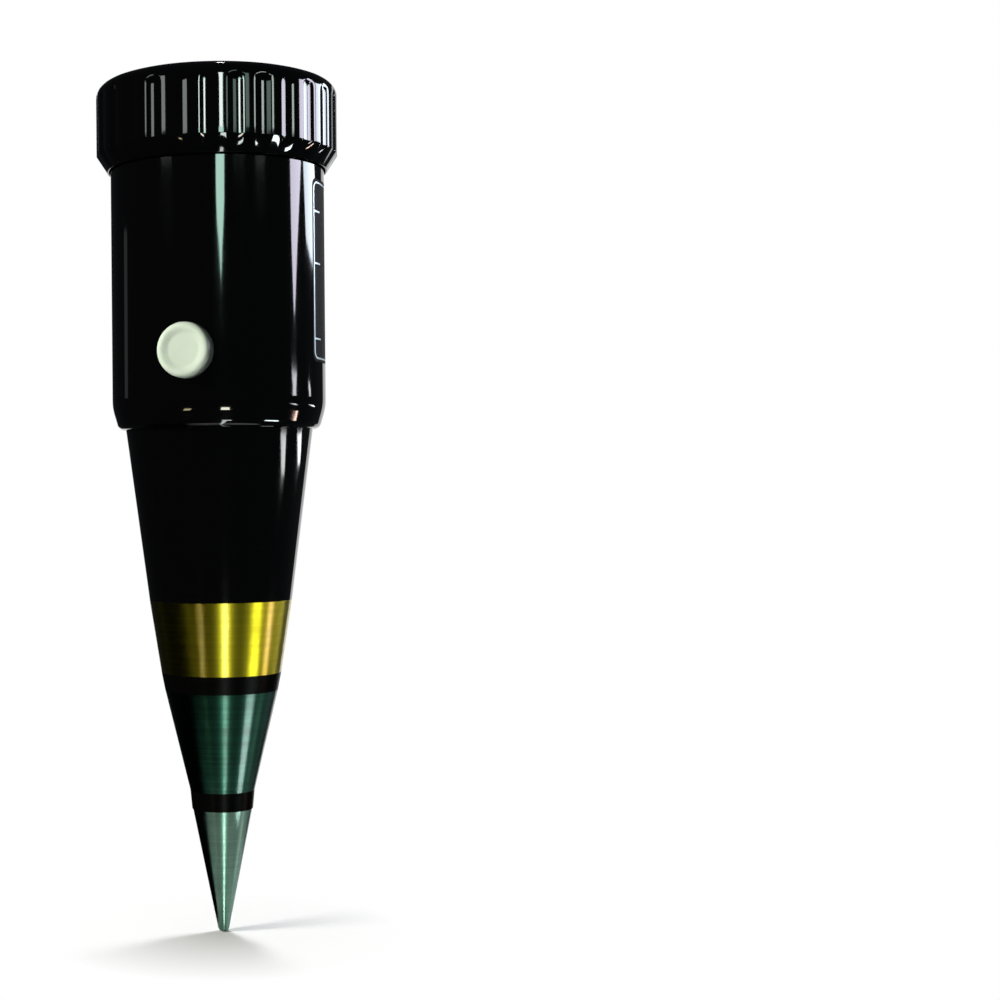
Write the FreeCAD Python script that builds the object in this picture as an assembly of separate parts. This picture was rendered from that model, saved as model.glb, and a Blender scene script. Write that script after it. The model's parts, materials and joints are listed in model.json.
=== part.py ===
import FreeCAD, Part

import math
import os

# Soil moisture and acidity meter: a cone probe with three metal electrodes, a black barrel
# with a push button, and a moving-coil dial under a screwed bezel.  Millimetres.
# Origin at the probe's tip, +Z up the axis, the button on the -Y side, dial twelve o'clock at +Y.

Vector = FreeCAD.Vector

# ---------------------------------------------------------------- driving dimensions
# probe, from the tip up
TIP_LENGTH = 24.6
TIP_POINT_RADIUS = 0.95
TIP_ROUNDING = 0.9
TIP_TOP_RADIUS = 5.9
LOWER_RING_LENGTH = 3.67
LOWER_RING_RADIUS = 6.05
MID_BOTTOM_RADIUS = 6.4
MID_LENGTH = 19.81
MID_TOP_RADIUS = 11.2
UPPER_RING_LENGTH = 3.58
BRASS_BOTTOM_RADIUS = 11.9
BRASS_LENGTH = 14.32
CONE_BOTTOM_RADIUS = 14.15
CONE_LENGTH = 33.62
SHOULDER = 2.65            # how far the barrel stands out from the top of the cone
SHOULDER_SLOPE_WIDTH = 1.3  # the shoulder slopes in towards its lower edge
SHOULDER_SLOPE_HEIGHT = 4.4
SHOULDER_EDGE = 1.6
SHOULDER_BEND = 10.0

# barrel and head
BARREL_RADIUS = 21.2
BARREL_LENGTH = 51.1
BARREL_WALL = 2.2
HEAD_OVERHANG = 2.8
HEAD_HEIGHT = 17.0
HEAD_EDGE_FILLET = 2.7
HEAD_CHAMFER_HEIGHT = 3.2
FLUTE_COUNT = 28
FLUTE_WIDTH = 3.2
FLUTE_DEPTH = 0.35
FLUTE_TOP_MARGIN = 2.2     # plain rim above the flutes, whose upper ends are round
LIP_THICKNESS = 2.0
LIP_CHAMFER = 1.0
WINDOW_INSET = 0.7         # window's edge, in from the barrel's inner wall

# window, dial and the space between them
LENS_THICKNESS = 1.8
GASKET_THICKNESS = 1.0
GASKET_SETBACK = 0.2       # gasket's inner edge, hidden behind the window's edge
DIAL_DEPTH = 3.5
DIAL_THICKNESS = 0.5
FRAME_BASE = 1.5

# screw closure between head and barrel
THREAD_STARTS = 3
THREAD_PITCH = 9.0
THREAD_RIDGE_ARC = 75.0
THREAD_LUG_ARC = 10.0
THREAD_RIDGE_HEIGHT = 1.2
THREAD_DEPTH = 0.6
THREAD_CLEARANCE = 0.2
HEAD_GAP = 0.3             # between the barrel and the head, around and below it

# button and switch
BUTTON_RADIUS = 5.25
BUTTON_MARGIN = 0.8        # between the button's pad and the groove for the cone's spigot
PAD_WIDTH = 1.95           # pad inside the barrel, round the button
BUTTON_PROUD = 2.0
BUTTON_EDGE = 1.3
BUTTON_DISH_RADIUS = 3.75
BUTTON_DISH_DEPTH = 0.25
BUTTON_FLANGE_WIDTH = 0.95
BUTTON_FLANGE_THICKNESS = 1.0
BUTTON_TRAVEL = 1.5
STEM_RADIUS = 1.5
SPRING_WIRE = 0.2
SPRING_COILS = 4
SPRING_SPARE = 0.6         # left in the spring when the button is home
SWITCH_BASE_THICKNESS = 1.5
SWITCH_BASE_HALF_HEIGHT = 5.0
SWITCH_SCREW_OFFSET = 10.5
CONTACT_OFFSET = 3.2
CONTACT_THICKNESS = 0.3

# label plate on the back of the barrel
LABEL_HALF_ARC = 103.5
LABEL_BOTTOM = 12.7        # above the bottom of the barrel
LABEL_TOP_MARGIN = 2.8     # below the top of the barrel
LABEL_RECESS = 0.35
LABEL_THICKNESS = 0.3
LABEL_CORNER = 1.6

# moving-coil movement
YOKE_WALL = 1.4
YOKE_AIR = 0.35            # between the turning coil and the yoke
YOKE_LENGTH = 10.5
CORE_RADIUS = 3.3
CORE_LENGTH = 7.5
CORE_INSET = 1.9           # below the frame
COIL_DEPTH = 2.4
FORMER_THICKNESS = 0.25
COIL_THICKNESS = 0.85
STAFF_RADIUS = 0.5
STAFF_FIT = 0.06
JEWEL_RADIUS = 1.2
HUB_HEIGHT = 0.8
SPRING_HEIGHT = 0.4
SPRING_TURNS = 4
SPRING_STRIP = 0.12
SPRING_OUTER_RADIUS = 3.6
ARM_HEIGHT = 0.5
BRIDGE_THICKNESS = 1.0
BRIDGE_HALF_WIDTH = 1.5
BRIDGE_LEG = 2.0
BRACKET_THICKNESS = 1.2
BRACKET_DROP = 2.7         # bracket's top below the yoke
BRIDGE_GAP = 0.2           # bridge's underside above the zero arm
JEWEL_STAND_OUT = 0.5      # jewel screw's end beyond the bar that carries it
POINTER_LENGTH = 22.1
POINTER_REST = 24.5        # degrees clockwise from twelve o'clock
POINTER_MIN = -31.4
POINTER_MAX = 33.3
POINTER_ROOT_HALF_WIDTH = 0.75
POINTER_TIP_HALF_WIDTH = 0.22
POINTER_SHEET = 0.25
DIAL_NOTCH_RADIUS = 8.0
DIAL_EDGE = 3.6            # straight edge of the dial plate, above the pivot
COVER_EDGE = 4.8           # straight edge of the ribbed cover, above the pivot
COVER_BULGE_RADIUS = 8.2
COVER_BULGE_CENTRE = 1.6   # above the pivot
COVER_THICKNESS = 0.5
COVER_RIB_PITCH = 0.78
COVER_RIB_WIDTH = 0.4
COVER_RIB_HEIGHT = 0.3
COVER_GAP = 0.1            # top of the ribs below the gasket
FRAME_RIM_WALL = 1.2
SKIRT_PLAY = 0.2           # between the frame's rim and the cover's skirt
SKIRT_WALL = 0.4
DIAL_RING_SLOPE = 0.7      # how far the wall round the dial leans in at its foot

# board and fixings
BOARD_THICKNESS = 1.6
BOARD_DROP = 22.3          # board's top below the meter frame
POST_RADIUS = 2.2
POST_INSET = 3.4           # post's centre, in from the barrel's inner wall
POST_ANGLES = (90, 205, 335)
SPIGOT_LENGTH = 6.2
SPIGOT_DEPTH = 0.65
SPIGOT_FIT = 0.1
ROD_RADIUS = 1.5
ROD_FIT = 0.1
NUT_ACROSS_FLATS = 5.5
NUT_HEIGHT = 2.4
TERMINAL_OFFSET = 5.4
LEAD_RADIUS = 0.5

# everyday clearances
CLEAR = 0.3                # between pieces that move apart
SCREW_FIT = 0.05           # round the shank of a screw
SLIDE_FIT = 0.1            # round a button, lens or spigot
SLOT_HALF_WIDTH = 0.15     # screwdriver slots
OVERSHOOT = 1.0            # how far a cutter runs past what it cuts
SAME = 1e-6                # lengths this close are equal

# ---------------------------------------------------------------- heights, from the tip up
z_tip_top = TIP_LENGTH
z_mid_bottom = z_tip_top + LOWER_RING_LENGTH
z_mid_top = z_mid_bottom + MID_LENGTH
z_brass_bottom = z_mid_top + UPPER_RING_LENGTH
z_brass_top = z_brass_bottom + BRASS_LENGTH
z_barrel_bottom = z_brass_top + CONE_LENGTH
z_head_bottom = z_barrel_bottom + BARREL_LENGTH
z_barrel_top = z_head_bottom - HEAD_GAP
z_head_top = z_head_bottom + HEAD_HEIGHT
z_lens_top = z_head_top - LIP_THICKNESS
z_lens_bottom = z_lens_top - LENS_THICKNESS
z_rim = z_lens_bottom - GASKET_THICKNESS
z_dial = z_rim - DIAL_DEPTH
z_dial_bottom = z_dial - DIAL_THICKNESS
z_cover = z_rim - COVER_GAP - COVER_RIB_HEIGHT - COVER_THICKNESS
hub_stack = CLEAR + HUB_HEIGHT + CLEAR + SPRING_HEIGHT
bridge_stack = CLEAR + ARM_HEIGHT + BRIDGE_GAP + BRIDGE_THICKNESS + JEWEL_STAND_OUT + CLEAR
z_frame_top = z_cover - bridge_stack - hub_stack
z_frame_bottom = z_frame_top - FRAME_BASE
z_board_top = z_frame_bottom - BOARD_DROP
z_board_bottom = z_board_top - BOARD_THICKNESS
z_spigot_groove = z_barrel_bottom + SPIGOT_LENGTH + SLIDE_FIT
z_button = z_spigot_groove + BUTTON_MARGIN + PAD_WIDTH + BUTTON_RADIUS
z_hub = z_frame_top + CLEAR
z_spring = z_hub + HUB_HEIGHT + CLEAR
z_arm = z_spring + SPRING_HEIGHT + CLEAR
z_bridge = z_arm + ARM_HEIGHT + BRIDGE_GAP
z_yoke_bottom = z_frame_bottom - YOKE_LENGTH
z_bracket_top = z_yoke_bottom - BRACKET_DROP
z_core_top = z_frame_bottom - CORE_INSET
z_core_bottom = z_core_top - CORE_LENGTH

# ---------------------------------------------------------------- radii and places
cone_top_radius = BARREL_RADIUS - SHOULDER
inner_radius = BARREL_RADIUS - BARREL_WALL
window_radius = inner_radius - WINDOW_INSET
head_radius = BARREL_RADIUS + HEAD_OVERHANG
head_bore = BARREL_RADIUS + HEAD_GAP
thread_root = head_bore - THREAD_DEPTH - CLEAR
spigot_radius = cone_top_radius - SPIGOT_DEPTH
spigot_bore = spigot_radius + SPIGOT_FIT
former_half = CORE_RADIUS + CLEAR
coil_half = former_half + FORMER_THICKNESS
yoke_bore = math.hypot(coil_half + COIL_THICKNESS, COIL_DEPTH / 2) + YOKE_AIR
yoke_radius = yoke_bore + YOKE_WALL
pivot_y = -(inner_radius - yoke_radius - CLEAR)
post_distance = inner_radius - POST_INSET
frame_radius = inner_radius - CLEAR
frame_rim_inner = frame_radius - FRAME_RIM_WALL
dial_radius = frame_radius - SLIDE_FIT
skirt_outer = frame_rim_inner - SKIRT_PLAY
skirt_inner = skirt_outer - SKIRT_WALL
bridge_reach = math.sqrt((skirt_inner - CLEAR) ** 2 - (abs(pivot_y) + BRIDGE_HALF_WIDTH) ** 2)
bridge_leg_x = bridge_reach - BRIDGE_LEG / 2
rod_hole = ROD_RADIUS + ROD_FIT


# ---------------------------------------------------------------- shape helpers
def rod(radius, z_low, z_high, x=0.0, y=0.0):
    """Upright cylinder."""
    return Part.makeCylinder(radius, z_high - z_low, Vector(x, y, z_low))


def ring(outer, inner, z_low, z_high, x=0.0, y=0.0):
    """Upright tube."""
    return rod(outer, z_low, z_high, x, y).cut(rod(inner, z_low, z_high, x, y))


def block(x_low, x_high, y_low, y_high, z_low, z_high):
    """Box between two corners."""
    size = (x_high - x_low, y_high - y_low, z_high - z_low)
    return Part.makeBox(*size, Vector(x_low, y_low, z_low))


def fused(shapes):
    """One solid from shapes that overlap or share a face."""
    return shapes[0].fuse(shapes[1:]).removeSplitter()


def placed(shape, position, direction=(0, 0, 1)):
    """The shape moved to a place, with its +Z turned to a direction."""
    turn = FreeCAD.Rotation(Vector(0, 0, 1), Vector(*direction))
    moved = shape.copy()
    moved.Placement = FreeCAD.Placement(Vector(*position), turn)
    return moved


def turned(shape, degrees, centre=(0.0, 0.0, 0.0)):
    """The shape turned about an upright line."""
    copy = shape.copy()
    copy.rotate(Vector(*centre), Vector(0, 0, 1), degrees)
    return copy


def rounded_edges(points, radii, closed):
    """Straight edges through the points, with a tangent arc of the given radius at each corner."""
    corners = [Vector(*point) for point in points]
    count = len(corners)
    cuts = []
    for index, corner in enumerate(corners):
        at_end = not closed and index in (0, count - 1)
        if radii[index] <= 0 or at_end:
            cuts.append((corner, corner, corner))
            continue
        back = (corners[index - 1] - corner).normalize()
        ahead = (corners[(index + 1) % count] - corner).normalize()
        half_angle = back.getAngle(ahead) / 2
        reach = radii[index] / math.tan(half_angle)
        sagitta = radii[index] / math.sin(half_angle) - radii[index]
        middle = corner + (back + ahead).normalize() * sagitta
        cuts.append((corner + back * reach, middle, corner + ahead * reach))
    edges = []
    for index, (start, middle, end) in enumerate(cuts):
        if start != end:
            edges.append(Part.Arc(start, middle, end).toShape())
        if closed or index < count - 1:
            following = cuts[(index + 1) % count][0]
            edges.append(Part.LineSegment(end, following).toShape())
    return edges


def turning(profile):
    """Solid of revolution about Z from (radius, height) points, or (radius, height, corner radius)."""
    points = [(p[0], 0.0, p[1]) for p in profile]
    radii = [p[2] if len(p) > 2 else 0.0 for p in profile]
    face = Part.Face(Part.Wire(rounded_edges(points, radii, True)))
    return face.revolve(Vector(0, 0, 0), Vector(0, 0, 1), 360)


def prism(points, z_low, z_high):
    """Straight prism over a plan outline of (x, y) points."""
    corners = [Vector(x, y, z_low) for x, y in points]
    face = Part.Face(Part.makePolygon(corners + corners[:1]))
    return face.extrude(Vector(0, 0, z_high - z_low))


def lead(points, bend):
    """Insulated wire along straight runs joined by tangent arcs."""
    radii = [bend] * len(points)
    path = Part.Wire(rounded_edges(points, radii, False))
    start = Vector(*points[0])
    heading = Vector(*points[1]) - start
    section = Part.Wire(Part.makeCircle(LEAD_RADIUS, start, heading))
    return path.makePipeShell([section], True, True)


def screw(shank_radius, length, top_radius, top_height):
    """Slotted screw with its head on z = 0 and its shank below."""
    slot = block(
        -top_radius, top_radius, -SLOT_HALF_WIDTH, SLOT_HALF_WIDTH, top_height / 2, top_height)
    return fused([rod(shank_radius, -length, 0), rod(top_radius, 0, top_height)]).cut(slot)


def around(distance, degrees):
    """Plan position at a distance from the axis, in degrees from +X."""
    angle = math.radians(degrees)
    return distance * math.cos(angle), distance * math.sin(angle)


def on_dial(distance, degrees):
    """Plan position at a distance from the pivot, in degrees clockwise from twelve o'clock."""
    angle = math.radians(degrees)
    return distance * math.sin(angle), pivot_y + distance * math.cos(angle)


def save(name, solids):
    """Writes one sub-part, made of one solid or of several alike."""
    shape = solids if not isinstance(solids, list) else Part.makeCompound(solids)
    shape.exportStep("parts/" + name + ".step")


# ---------------------------------------------------------------- probe
SEAL_WIDTH = 1.0
SEAL_HEIGHT = 0.9
SEAL_GROOVE_SIDE = 0.05
LOWER_SEAL_RADIUS = 3.4
UPPER_SEAL_RADIUS = 8.0
ROD_BOTTOM = 12.0
ROD_ABOVE_NUT = 2.1
CORE_SPIGOT_RADIUS = 9.5
CORE_SPIGOT_BORE = 7.5
CORE_SPIGOT_FIT = 0.05
END_WALL = 3.0
CONE_FLOOR = 2.52
CONE_WALL = 1.8
SPIGOT_WALL = 1.8
SLEEVE_RADIUS = 2.5
WASHER_RADIUS = 3.1
WASHER_THICKNESS = 0.5
TAG_THICKNESS = 0.3
TERMINAL_SHANK = 0.8
MID_SCREW_DEPTH = 6.1
BRASS_SCREW_DEPTH = 5.0
BRASS_SCREW_INSET = 2.95   # brass electrode's screw, in from the cone's foot
BRASS_SCREW_ANGLE = 120
brass_screw_distance = CONE_BOTTOM_RADIUS - BRASS_SCREW_INSET
z_end_wall_top = z_brass_bottom + END_WALL
z_floor_top = z_brass_top + CONE_FLOOR
z_tip_tag = z_end_wall_top + WASHER_THICKNESS
z_nut = z_tip_tag + TAG_THICKNESS
z_rod_top = z_nut + NUT_HEIGHT + ROD_ABOVE_NUT


def seal_rings(radius, z_low, z_high, width, height):
    """Flat rings sunk into the two faces of an insulator."""
    outer = radius + SEAL_WIDTH + width
    inner = radius - width
    return [
        ring(outer, inner, z_low, z_low + height),
        ring(outer, inner, z_high - height, z_high),
    ]


def make_tip_electrode():
    body = turning([
        (0, 0), (TIP_POINT_RADIUS, 0, TIP_ROUNDING), (TIP_TOP_RADIUS, z_tip_top), (0, z_tip_top),
    ])
    return body.cut(rod(ROD_RADIUS + SCREW_FIT, ROD_BOTTOM, z_tip_top))


def make_insulator(bottom_radius, top_radius, z_low, z_high, seal_radius):
    body = turning([
        (rod_hole, z_low), (bottom_radius, z_low), (top_radius, z_high), (rod_hole, z_high),
    ])
    grooves = seal_rings(seal_radius, z_low, z_high, SEAL_GROOVE_SIDE, SEAL_HEIGHT)
    return body.cut(Part.makeCompound(grooves))


def terminal_holes(radius, z_low, z_high):
    """Hole for the screw that reaches the middle electrode."""
    return rod(radius, z_low, z_high, TERMINAL_OFFSET, 0)


def make_mid_electrode():
    bore = SLEEVE_RADIUS + ROD_FIT
    body = turning([
        (bore, z_mid_bottom), (MID_BOTTOM_RADIUS, z_mid_bottom),
        (MID_TOP_RADIUS, z_mid_top), (bore, z_mid_top),
    ])
    return body.cut(terminal_holes(TERMINAL_SHANK + SCREW_FIT, z_mid_top - MID_SCREW_DEPTH, z_mid_top))


def make_brass_electrode():
    bore = CORE_SPIGOT_RADIUS + CORE_SPIGOT_FIT
    body = turning([
        (bore, z_brass_bottom), (BRASS_BOTTOM_RADIUS, z_brass_bottom),
        (CONE_BOTTOM_RADIUS, z_brass_top), (bore, z_brass_top),
    ])
    x, y = around(brass_screw_distance, BRASS_SCREW_ANGLE)
    hole = TERMINAL_SHANK + SCREW_FIT
    return body.cut(rod(hole, z_brass_top - BRASS_SCREW_DEPTH, z_brass_top, x, y))


GROOVE_BOTTOM = 2.4        # seal groove above the bottom of the barrel
GROOVE_HEIGHT = 1.5
GROOVE_DEPTH = 0.9
GROOVE_PLAY = 0.03


def make_cone_shell():
    floor_inner = CONE_BOTTOM_RADIUS + CONE_FLOOR * (cone_top_radius - CONE_BOTTOM_RADIUS) / CONE_LENGTH
    spigot_inner = spigot_radius - SPIGOT_WALL
    body = turning([
        (rod_hole, z_brass_bottom), (CORE_SPIGOT_RADIUS, z_brass_bottom),
        (CORE_SPIGOT_RADIUS, z_brass_top), (CONE_BOTTOM_RADIUS, z_brass_top),
        (cone_top_radius, z_barrel_bottom), (spigot_radius, z_barrel_bottom),
        (spigot_radius, z_barrel_bottom + SPIGOT_LENGTH),
        (spigot_inner, z_barrel_bottom + SPIGOT_LENGTH), (spigot_inner, z_barrel_bottom),
        (floor_inner - CONE_WALL, z_floor_top), (CORE_SPIGOT_BORE, z_floor_top),
        (CORE_SPIGOT_BORE, z_end_wall_top), (rod_hole, z_end_wall_top),
    ])
    z_groove = z_barrel_bottom + GROOVE_BOTTOM
    groove = ring(
        spigot_radius + OVERSHOOT, spigot_radius - GROOVE_DEPTH, z_groove, z_groove + GROOVE_HEIGHT)
    x, y = around(brass_screw_distance, BRASS_SCREW_ANGLE)
    hole = TERMINAL_SHANK + SCREW_FIT
    brass_hole = rod(hole, z_brass_top, z_floor_top, x, y)
    return body.cut(groove).cut(terminal_holes(hole, z_brass_bottom, z_end_wall_top)).cut(brass_hole)


def make_cone_seal():
    section = (GROOVE_DEPTH + SPIGOT_FIT) / 2 - GROOVE_PLAY
    middle = spigot_radius - GROOVE_DEPTH + section + GROOVE_PLAY
    height = z_barrel_bottom + GROOVE_BOTTOM + GROOVE_HEIGHT / 2
    return Part.makeTorus(middle, section, Vector(0, 0, height))


def make_nut():
    corner_radius = NUT_ACROSS_FLATS / math.sqrt(3)
    hexagon = [around(corner_radius, 60 * side + 30) for side in range(6)]
    z_nut_top = z_nut + NUT_HEIGHT
    return prism(hexagon, z_nut, z_nut_top).cut(rod(ROD_RADIUS + SCREW_FIT, z_nut, z_nut_top))


TAG_TAB_WIDTH = 1.6
TAG_TAB_HEIGHT = 3.0


def tag(hole_radius, outer_radius, x, y, z, degrees):
    """Solder tag: a flat ring under a nut or screw head, with one tab bent up."""
    flat = ring(outer_radius, hole_radius, z, z + TAG_THICKNESS, x, y)
    tab = block(
        x + outer_radius - TAG_THICKNESS, x + outer_radius + TAG_THICKNESS,
        y - TAG_TAB_WIDTH / 2, y + TAG_TAB_WIDTH / 2, z, z + TAG_TAB_HEIGHT,
    )
    base = block(
        x + outer_radius - 2 * TAG_THICKNESS, x + outer_radius,
        y - TAG_TAB_WIDTH / 2, y + TAG_TAB_WIDTH / 2, z, z + TAG_THICKNESS,
    )
    above = rod(outer_radius, z + TAG_THICKNESS, z + TAG_TAB_HEIGHT, x, y)
    hole = rod(hole_radius, z, z + TAG_THICKNESS, x, y)
    shaped = fused([flat, base, tab]).cut(above).cut(hole)
    return turned(shaped, degrees, (x, y, 0))


BOARD_PAD_SPACING = 4.0    # the three electrode leads end side by side under the board
BOARD_PAD_Y = 8.0
ELECTRODE_LEAD_BEND = 12.0
LEAD_FIRST_BEND = 0.35     # where a lead bends, as shares of its climb to the board
LEAD_SECOND_BEND = 0.7
TERMINAL_HEAD = 1.5
BRASS_TERMINAL_HEAD = 1.15
TERMINAL_HEAD_HEIGHT = 1.0
MID_TAG_RADIUS = 1.8
BRASS_TAG_RADIUS = 1.3
brass_x, brass_y = around(brass_screw_distance, BRASS_SCREW_ANGLE)


def tag_top(outer_radius, x, y, z, degrees):
    """Where a wire leaves the tab of a tag."""
    dx, dy = around(outer_radius + TAG_THICKNESS / 2, degrees)
    return x + dx, y + dy, z + TAG_TAB_HEIGHT


def make_probe():
    save("tip_electrode", make_tip_electrode())
    save("lower_insulator", make_insulator(
        LOWER_RING_RADIUS, MID_BOTTOM_RADIUS, z_tip_top, z_mid_bottom, LOWER_SEAL_RADIUS))
    save("mid_electrode", make_mid_electrode())
    upper = make_insulator(
        MID_TOP_RADIUS, BRASS_BOTTOM_RADIUS, z_mid_top, z_brass_bottom, UPPER_SEAL_RADIUS)
    hole = TERMINAL_SHANK + SCREW_FIT
    save("upper_insulator", upper.cut(terminal_holes(hole, z_mid_top, z_brass_bottom)))
    save("brass_electrode", make_brass_electrode())
    save("cone_shell", make_cone_shell())
    save("cone_seal", make_cone_seal())
    seals = seal_rings(LOWER_SEAL_RADIUS, z_tip_top, z_mid_bottom, 0, SEAL_HEIGHT)
    seals += seal_rings(UPPER_SEAL_RADIUS, z_mid_top, z_brass_bottom, 0, SEAL_HEIGHT)
    save("electrode_seals", seals)
    save("tie_rod", rod(ROD_RADIUS, ROD_BOTTOM, z_rod_top))
    save("rod_sleeve", ring(SLEEVE_RADIUS, rod_hole, z_mid_bottom, z_mid_top))
    save("rod_washer", ring(WASHER_RADIUS, rod_hole, z_end_wall_top, z_tip_tag))
    save("rod_nut", make_nut())
    save("solder_tags", [
        tag(rod_hole, WASHER_RADIUS, 0, 0, z_tip_tag, 180),
        tag(TERMINAL_SHANK + SCREW_FIT, MID_TAG_RADIUS, TERMINAL_OFFSET, 0, z_end_wall_top, 90),
        tag(TERMINAL_SHANK + SCREW_FIT, BRASS_TAG_RADIUS, brass_x, brass_y, z_floor_top,
            BRASS_SCREW_ANGLE + 180),
    ])
    mid_length = TAG_THICKNESS + END_WALL + UPPER_RING_LENGTH + MID_SCREW_DEPTH
    brass_length = TAG_THICKNESS + CONE_FLOOR + BRASS_SCREW_DEPTH
    mid_screw = screw(TERMINAL_SHANK, mid_length, TERMINAL_HEAD, TERMINAL_HEAD_HEIGHT)
    brass_screw = screw(TERMINAL_SHANK, brass_length, BRASS_TERMINAL_HEAD, TERMINAL_HEAD_HEIGHT)
    save("terminal_screws", [
        placed(mid_screw, (TERMINAL_OFFSET, 0, z_end_wall_top + TAG_THICKNESS)),
        placed(brass_screw, (brass_x, brass_y, z_floor_top + TAG_THICKNESS)),
    ])
    starts = [
        tag_top(WASHER_RADIUS, 0, 0, z_tip_tag, 180),
        tag_top(MID_TAG_RADIUS, TERMINAL_OFFSET, 0, z_end_wall_top, 90),
        tag_top(BRASS_TAG_RADIUS, brass_x, brass_y, z_floor_top, BRASS_SCREW_ANGLE + 180),
    ]
    leads = []
    for (x, y, z), end_x in zip(starts, (0.0, BOARD_PAD_SPACING, -BOARD_PAD_SPACING)):
        low = z + (z_board_bottom - z) * LEAD_FIRST_BEND
        high = z + (z_board_bottom - z) * LEAD_SECOND_BEND
        points = [(x, y, z), (x, y, low), (end_x, BOARD_PAD_Y, high), (end_x, BOARD_PAD_Y, z_board_bottom)]
        leads.append(lead(points, ELECTRODE_LEAD_BEND))
    save("electrode_leads", leads)


# ---------------------------------------------------------------- barrel
PAD_THICKNESS = 1.5
SWITCH_POST_RADIUS = 1.9
SWITCH_SCREW_RADIUS = 0.8
SWITCH_SCREW_LENGTH = 5.0
METER_SCREW_RADIUS = 0.9
METER_SCREW_LENGTH = 7.4
METER_SCREW_HEAD = 1.6
METER_SCREW_HEAD_HEIGHT = 1.1
THREAD_START = 4.6         # underside of a ridge's low end, above the barrel's top edge
RIM_WALL = 1.6
THREAD_BURY = 0.3          # how far a ridge or lug runs into the wall that carries it
y_pad = -(inner_radius - PAD_THICKNESS)
y_flange = y_pad + CLEAR
y_flange_back = y_flange + BUTTON_FLANGE_THICKNESS
y_switch_front = y_flange_back + BUTTON_TRAVEL + 2 * SPRING_WIRE * SPRING_COILS + SPRING_SPARE
y_switch_back = y_switch_front + SWITCH_BASE_THICKNESS


def helical_bar(radius_low, radius_high, z_low, height, start, arc):
    """Bar of square section that climbs round the axis at the thread's pitch."""
    rise = THREAD_PITCH * arc / 360
    path = Part.makeHelix(THREAD_PITCH, rise, radius_low)
    corners = [
        Vector(radius_low, 0, 0), Vector(radius_high, 0, 0),
        Vector(radius_high, 0, height), Vector(radius_low, 0, height),
    ]
    section = Part.makePolygon(corners + corners[:1])
    bar = Part.Wire(path.Edges).makePipeShell([section], True, True)
    bar.translate(Vector(0, 0, z_low))
    return turned(bar, start)


def along_y(radius, y_low, y_high, x, z):
    """Cylinder whose axis runs along Y."""
    return Part.makeCylinder(radius, y_high - y_low, Vector(x, y_low, z), Vector(0, 1, 0))


def label_patch(radius_low, radius_high, side_gap):
    """Curved plate round the back of the barrel, with rounded corners."""
    z_low = z_barrel_bottom + LABEL_BOTTOM + side_gap
    z_high = z_head_bottom - LABEL_TOP_MARGIN - side_gap
    half_arc = LABEL_HALF_ARC - math.degrees(side_gap / BARREL_RADIUS)
    corners = [
        Vector(radius_low, 0, z_low), Vector(radius_high, 0, z_low),
        Vector(radius_high, 0, z_high), Vector(radius_low, 0, z_high),
    ]
    face = Part.Face(Part.makePolygon(corners + corners[:1]))
    patch = face.revolve(Vector(0, 0, 0), Vector(0, 0, 1), 2 * half_arc)
    patch = turned(patch, 90 - half_arc)
    thickness = radius_high - radius_low
    corner_edges = [
        edge for edge in patch.Edges
        if abs(edge.Length - thickness) < SAME and abs(edge.BoundBox.ZLength) < SAME
    ]
    return patch.makeFillet(LABEL_CORNER - side_gap, corner_edges)


def make_posts():
    """Three posts inside the barrel, with the board on their feet and the meter on their heads."""
    posts = []
    holes = []
    for degrees in POST_ANGLES:
        x, y = around(post_distance, degrees)
        web = block(
            post_distance, inner_radius + OVERSHOOT, -POST_RADIUS, POST_RADIUS, z_board_top, z_frame_bottom)
        posts.append(rod(POST_RADIUS, z_board_top, z_frame_bottom, x, y))
        posts.append(turned(web, degrees))
        hole = METER_SCREW_RADIUS + SCREW_FIT
        holes.append(rod(hole, z_board_top, z_board_top + METER_SCREW_LENGTH, x, y))
        holes.append(rod(hole, z_frame_bottom - METER_SCREW_LENGTH, z_frame_bottom, x, y))
    return posts, holes


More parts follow.
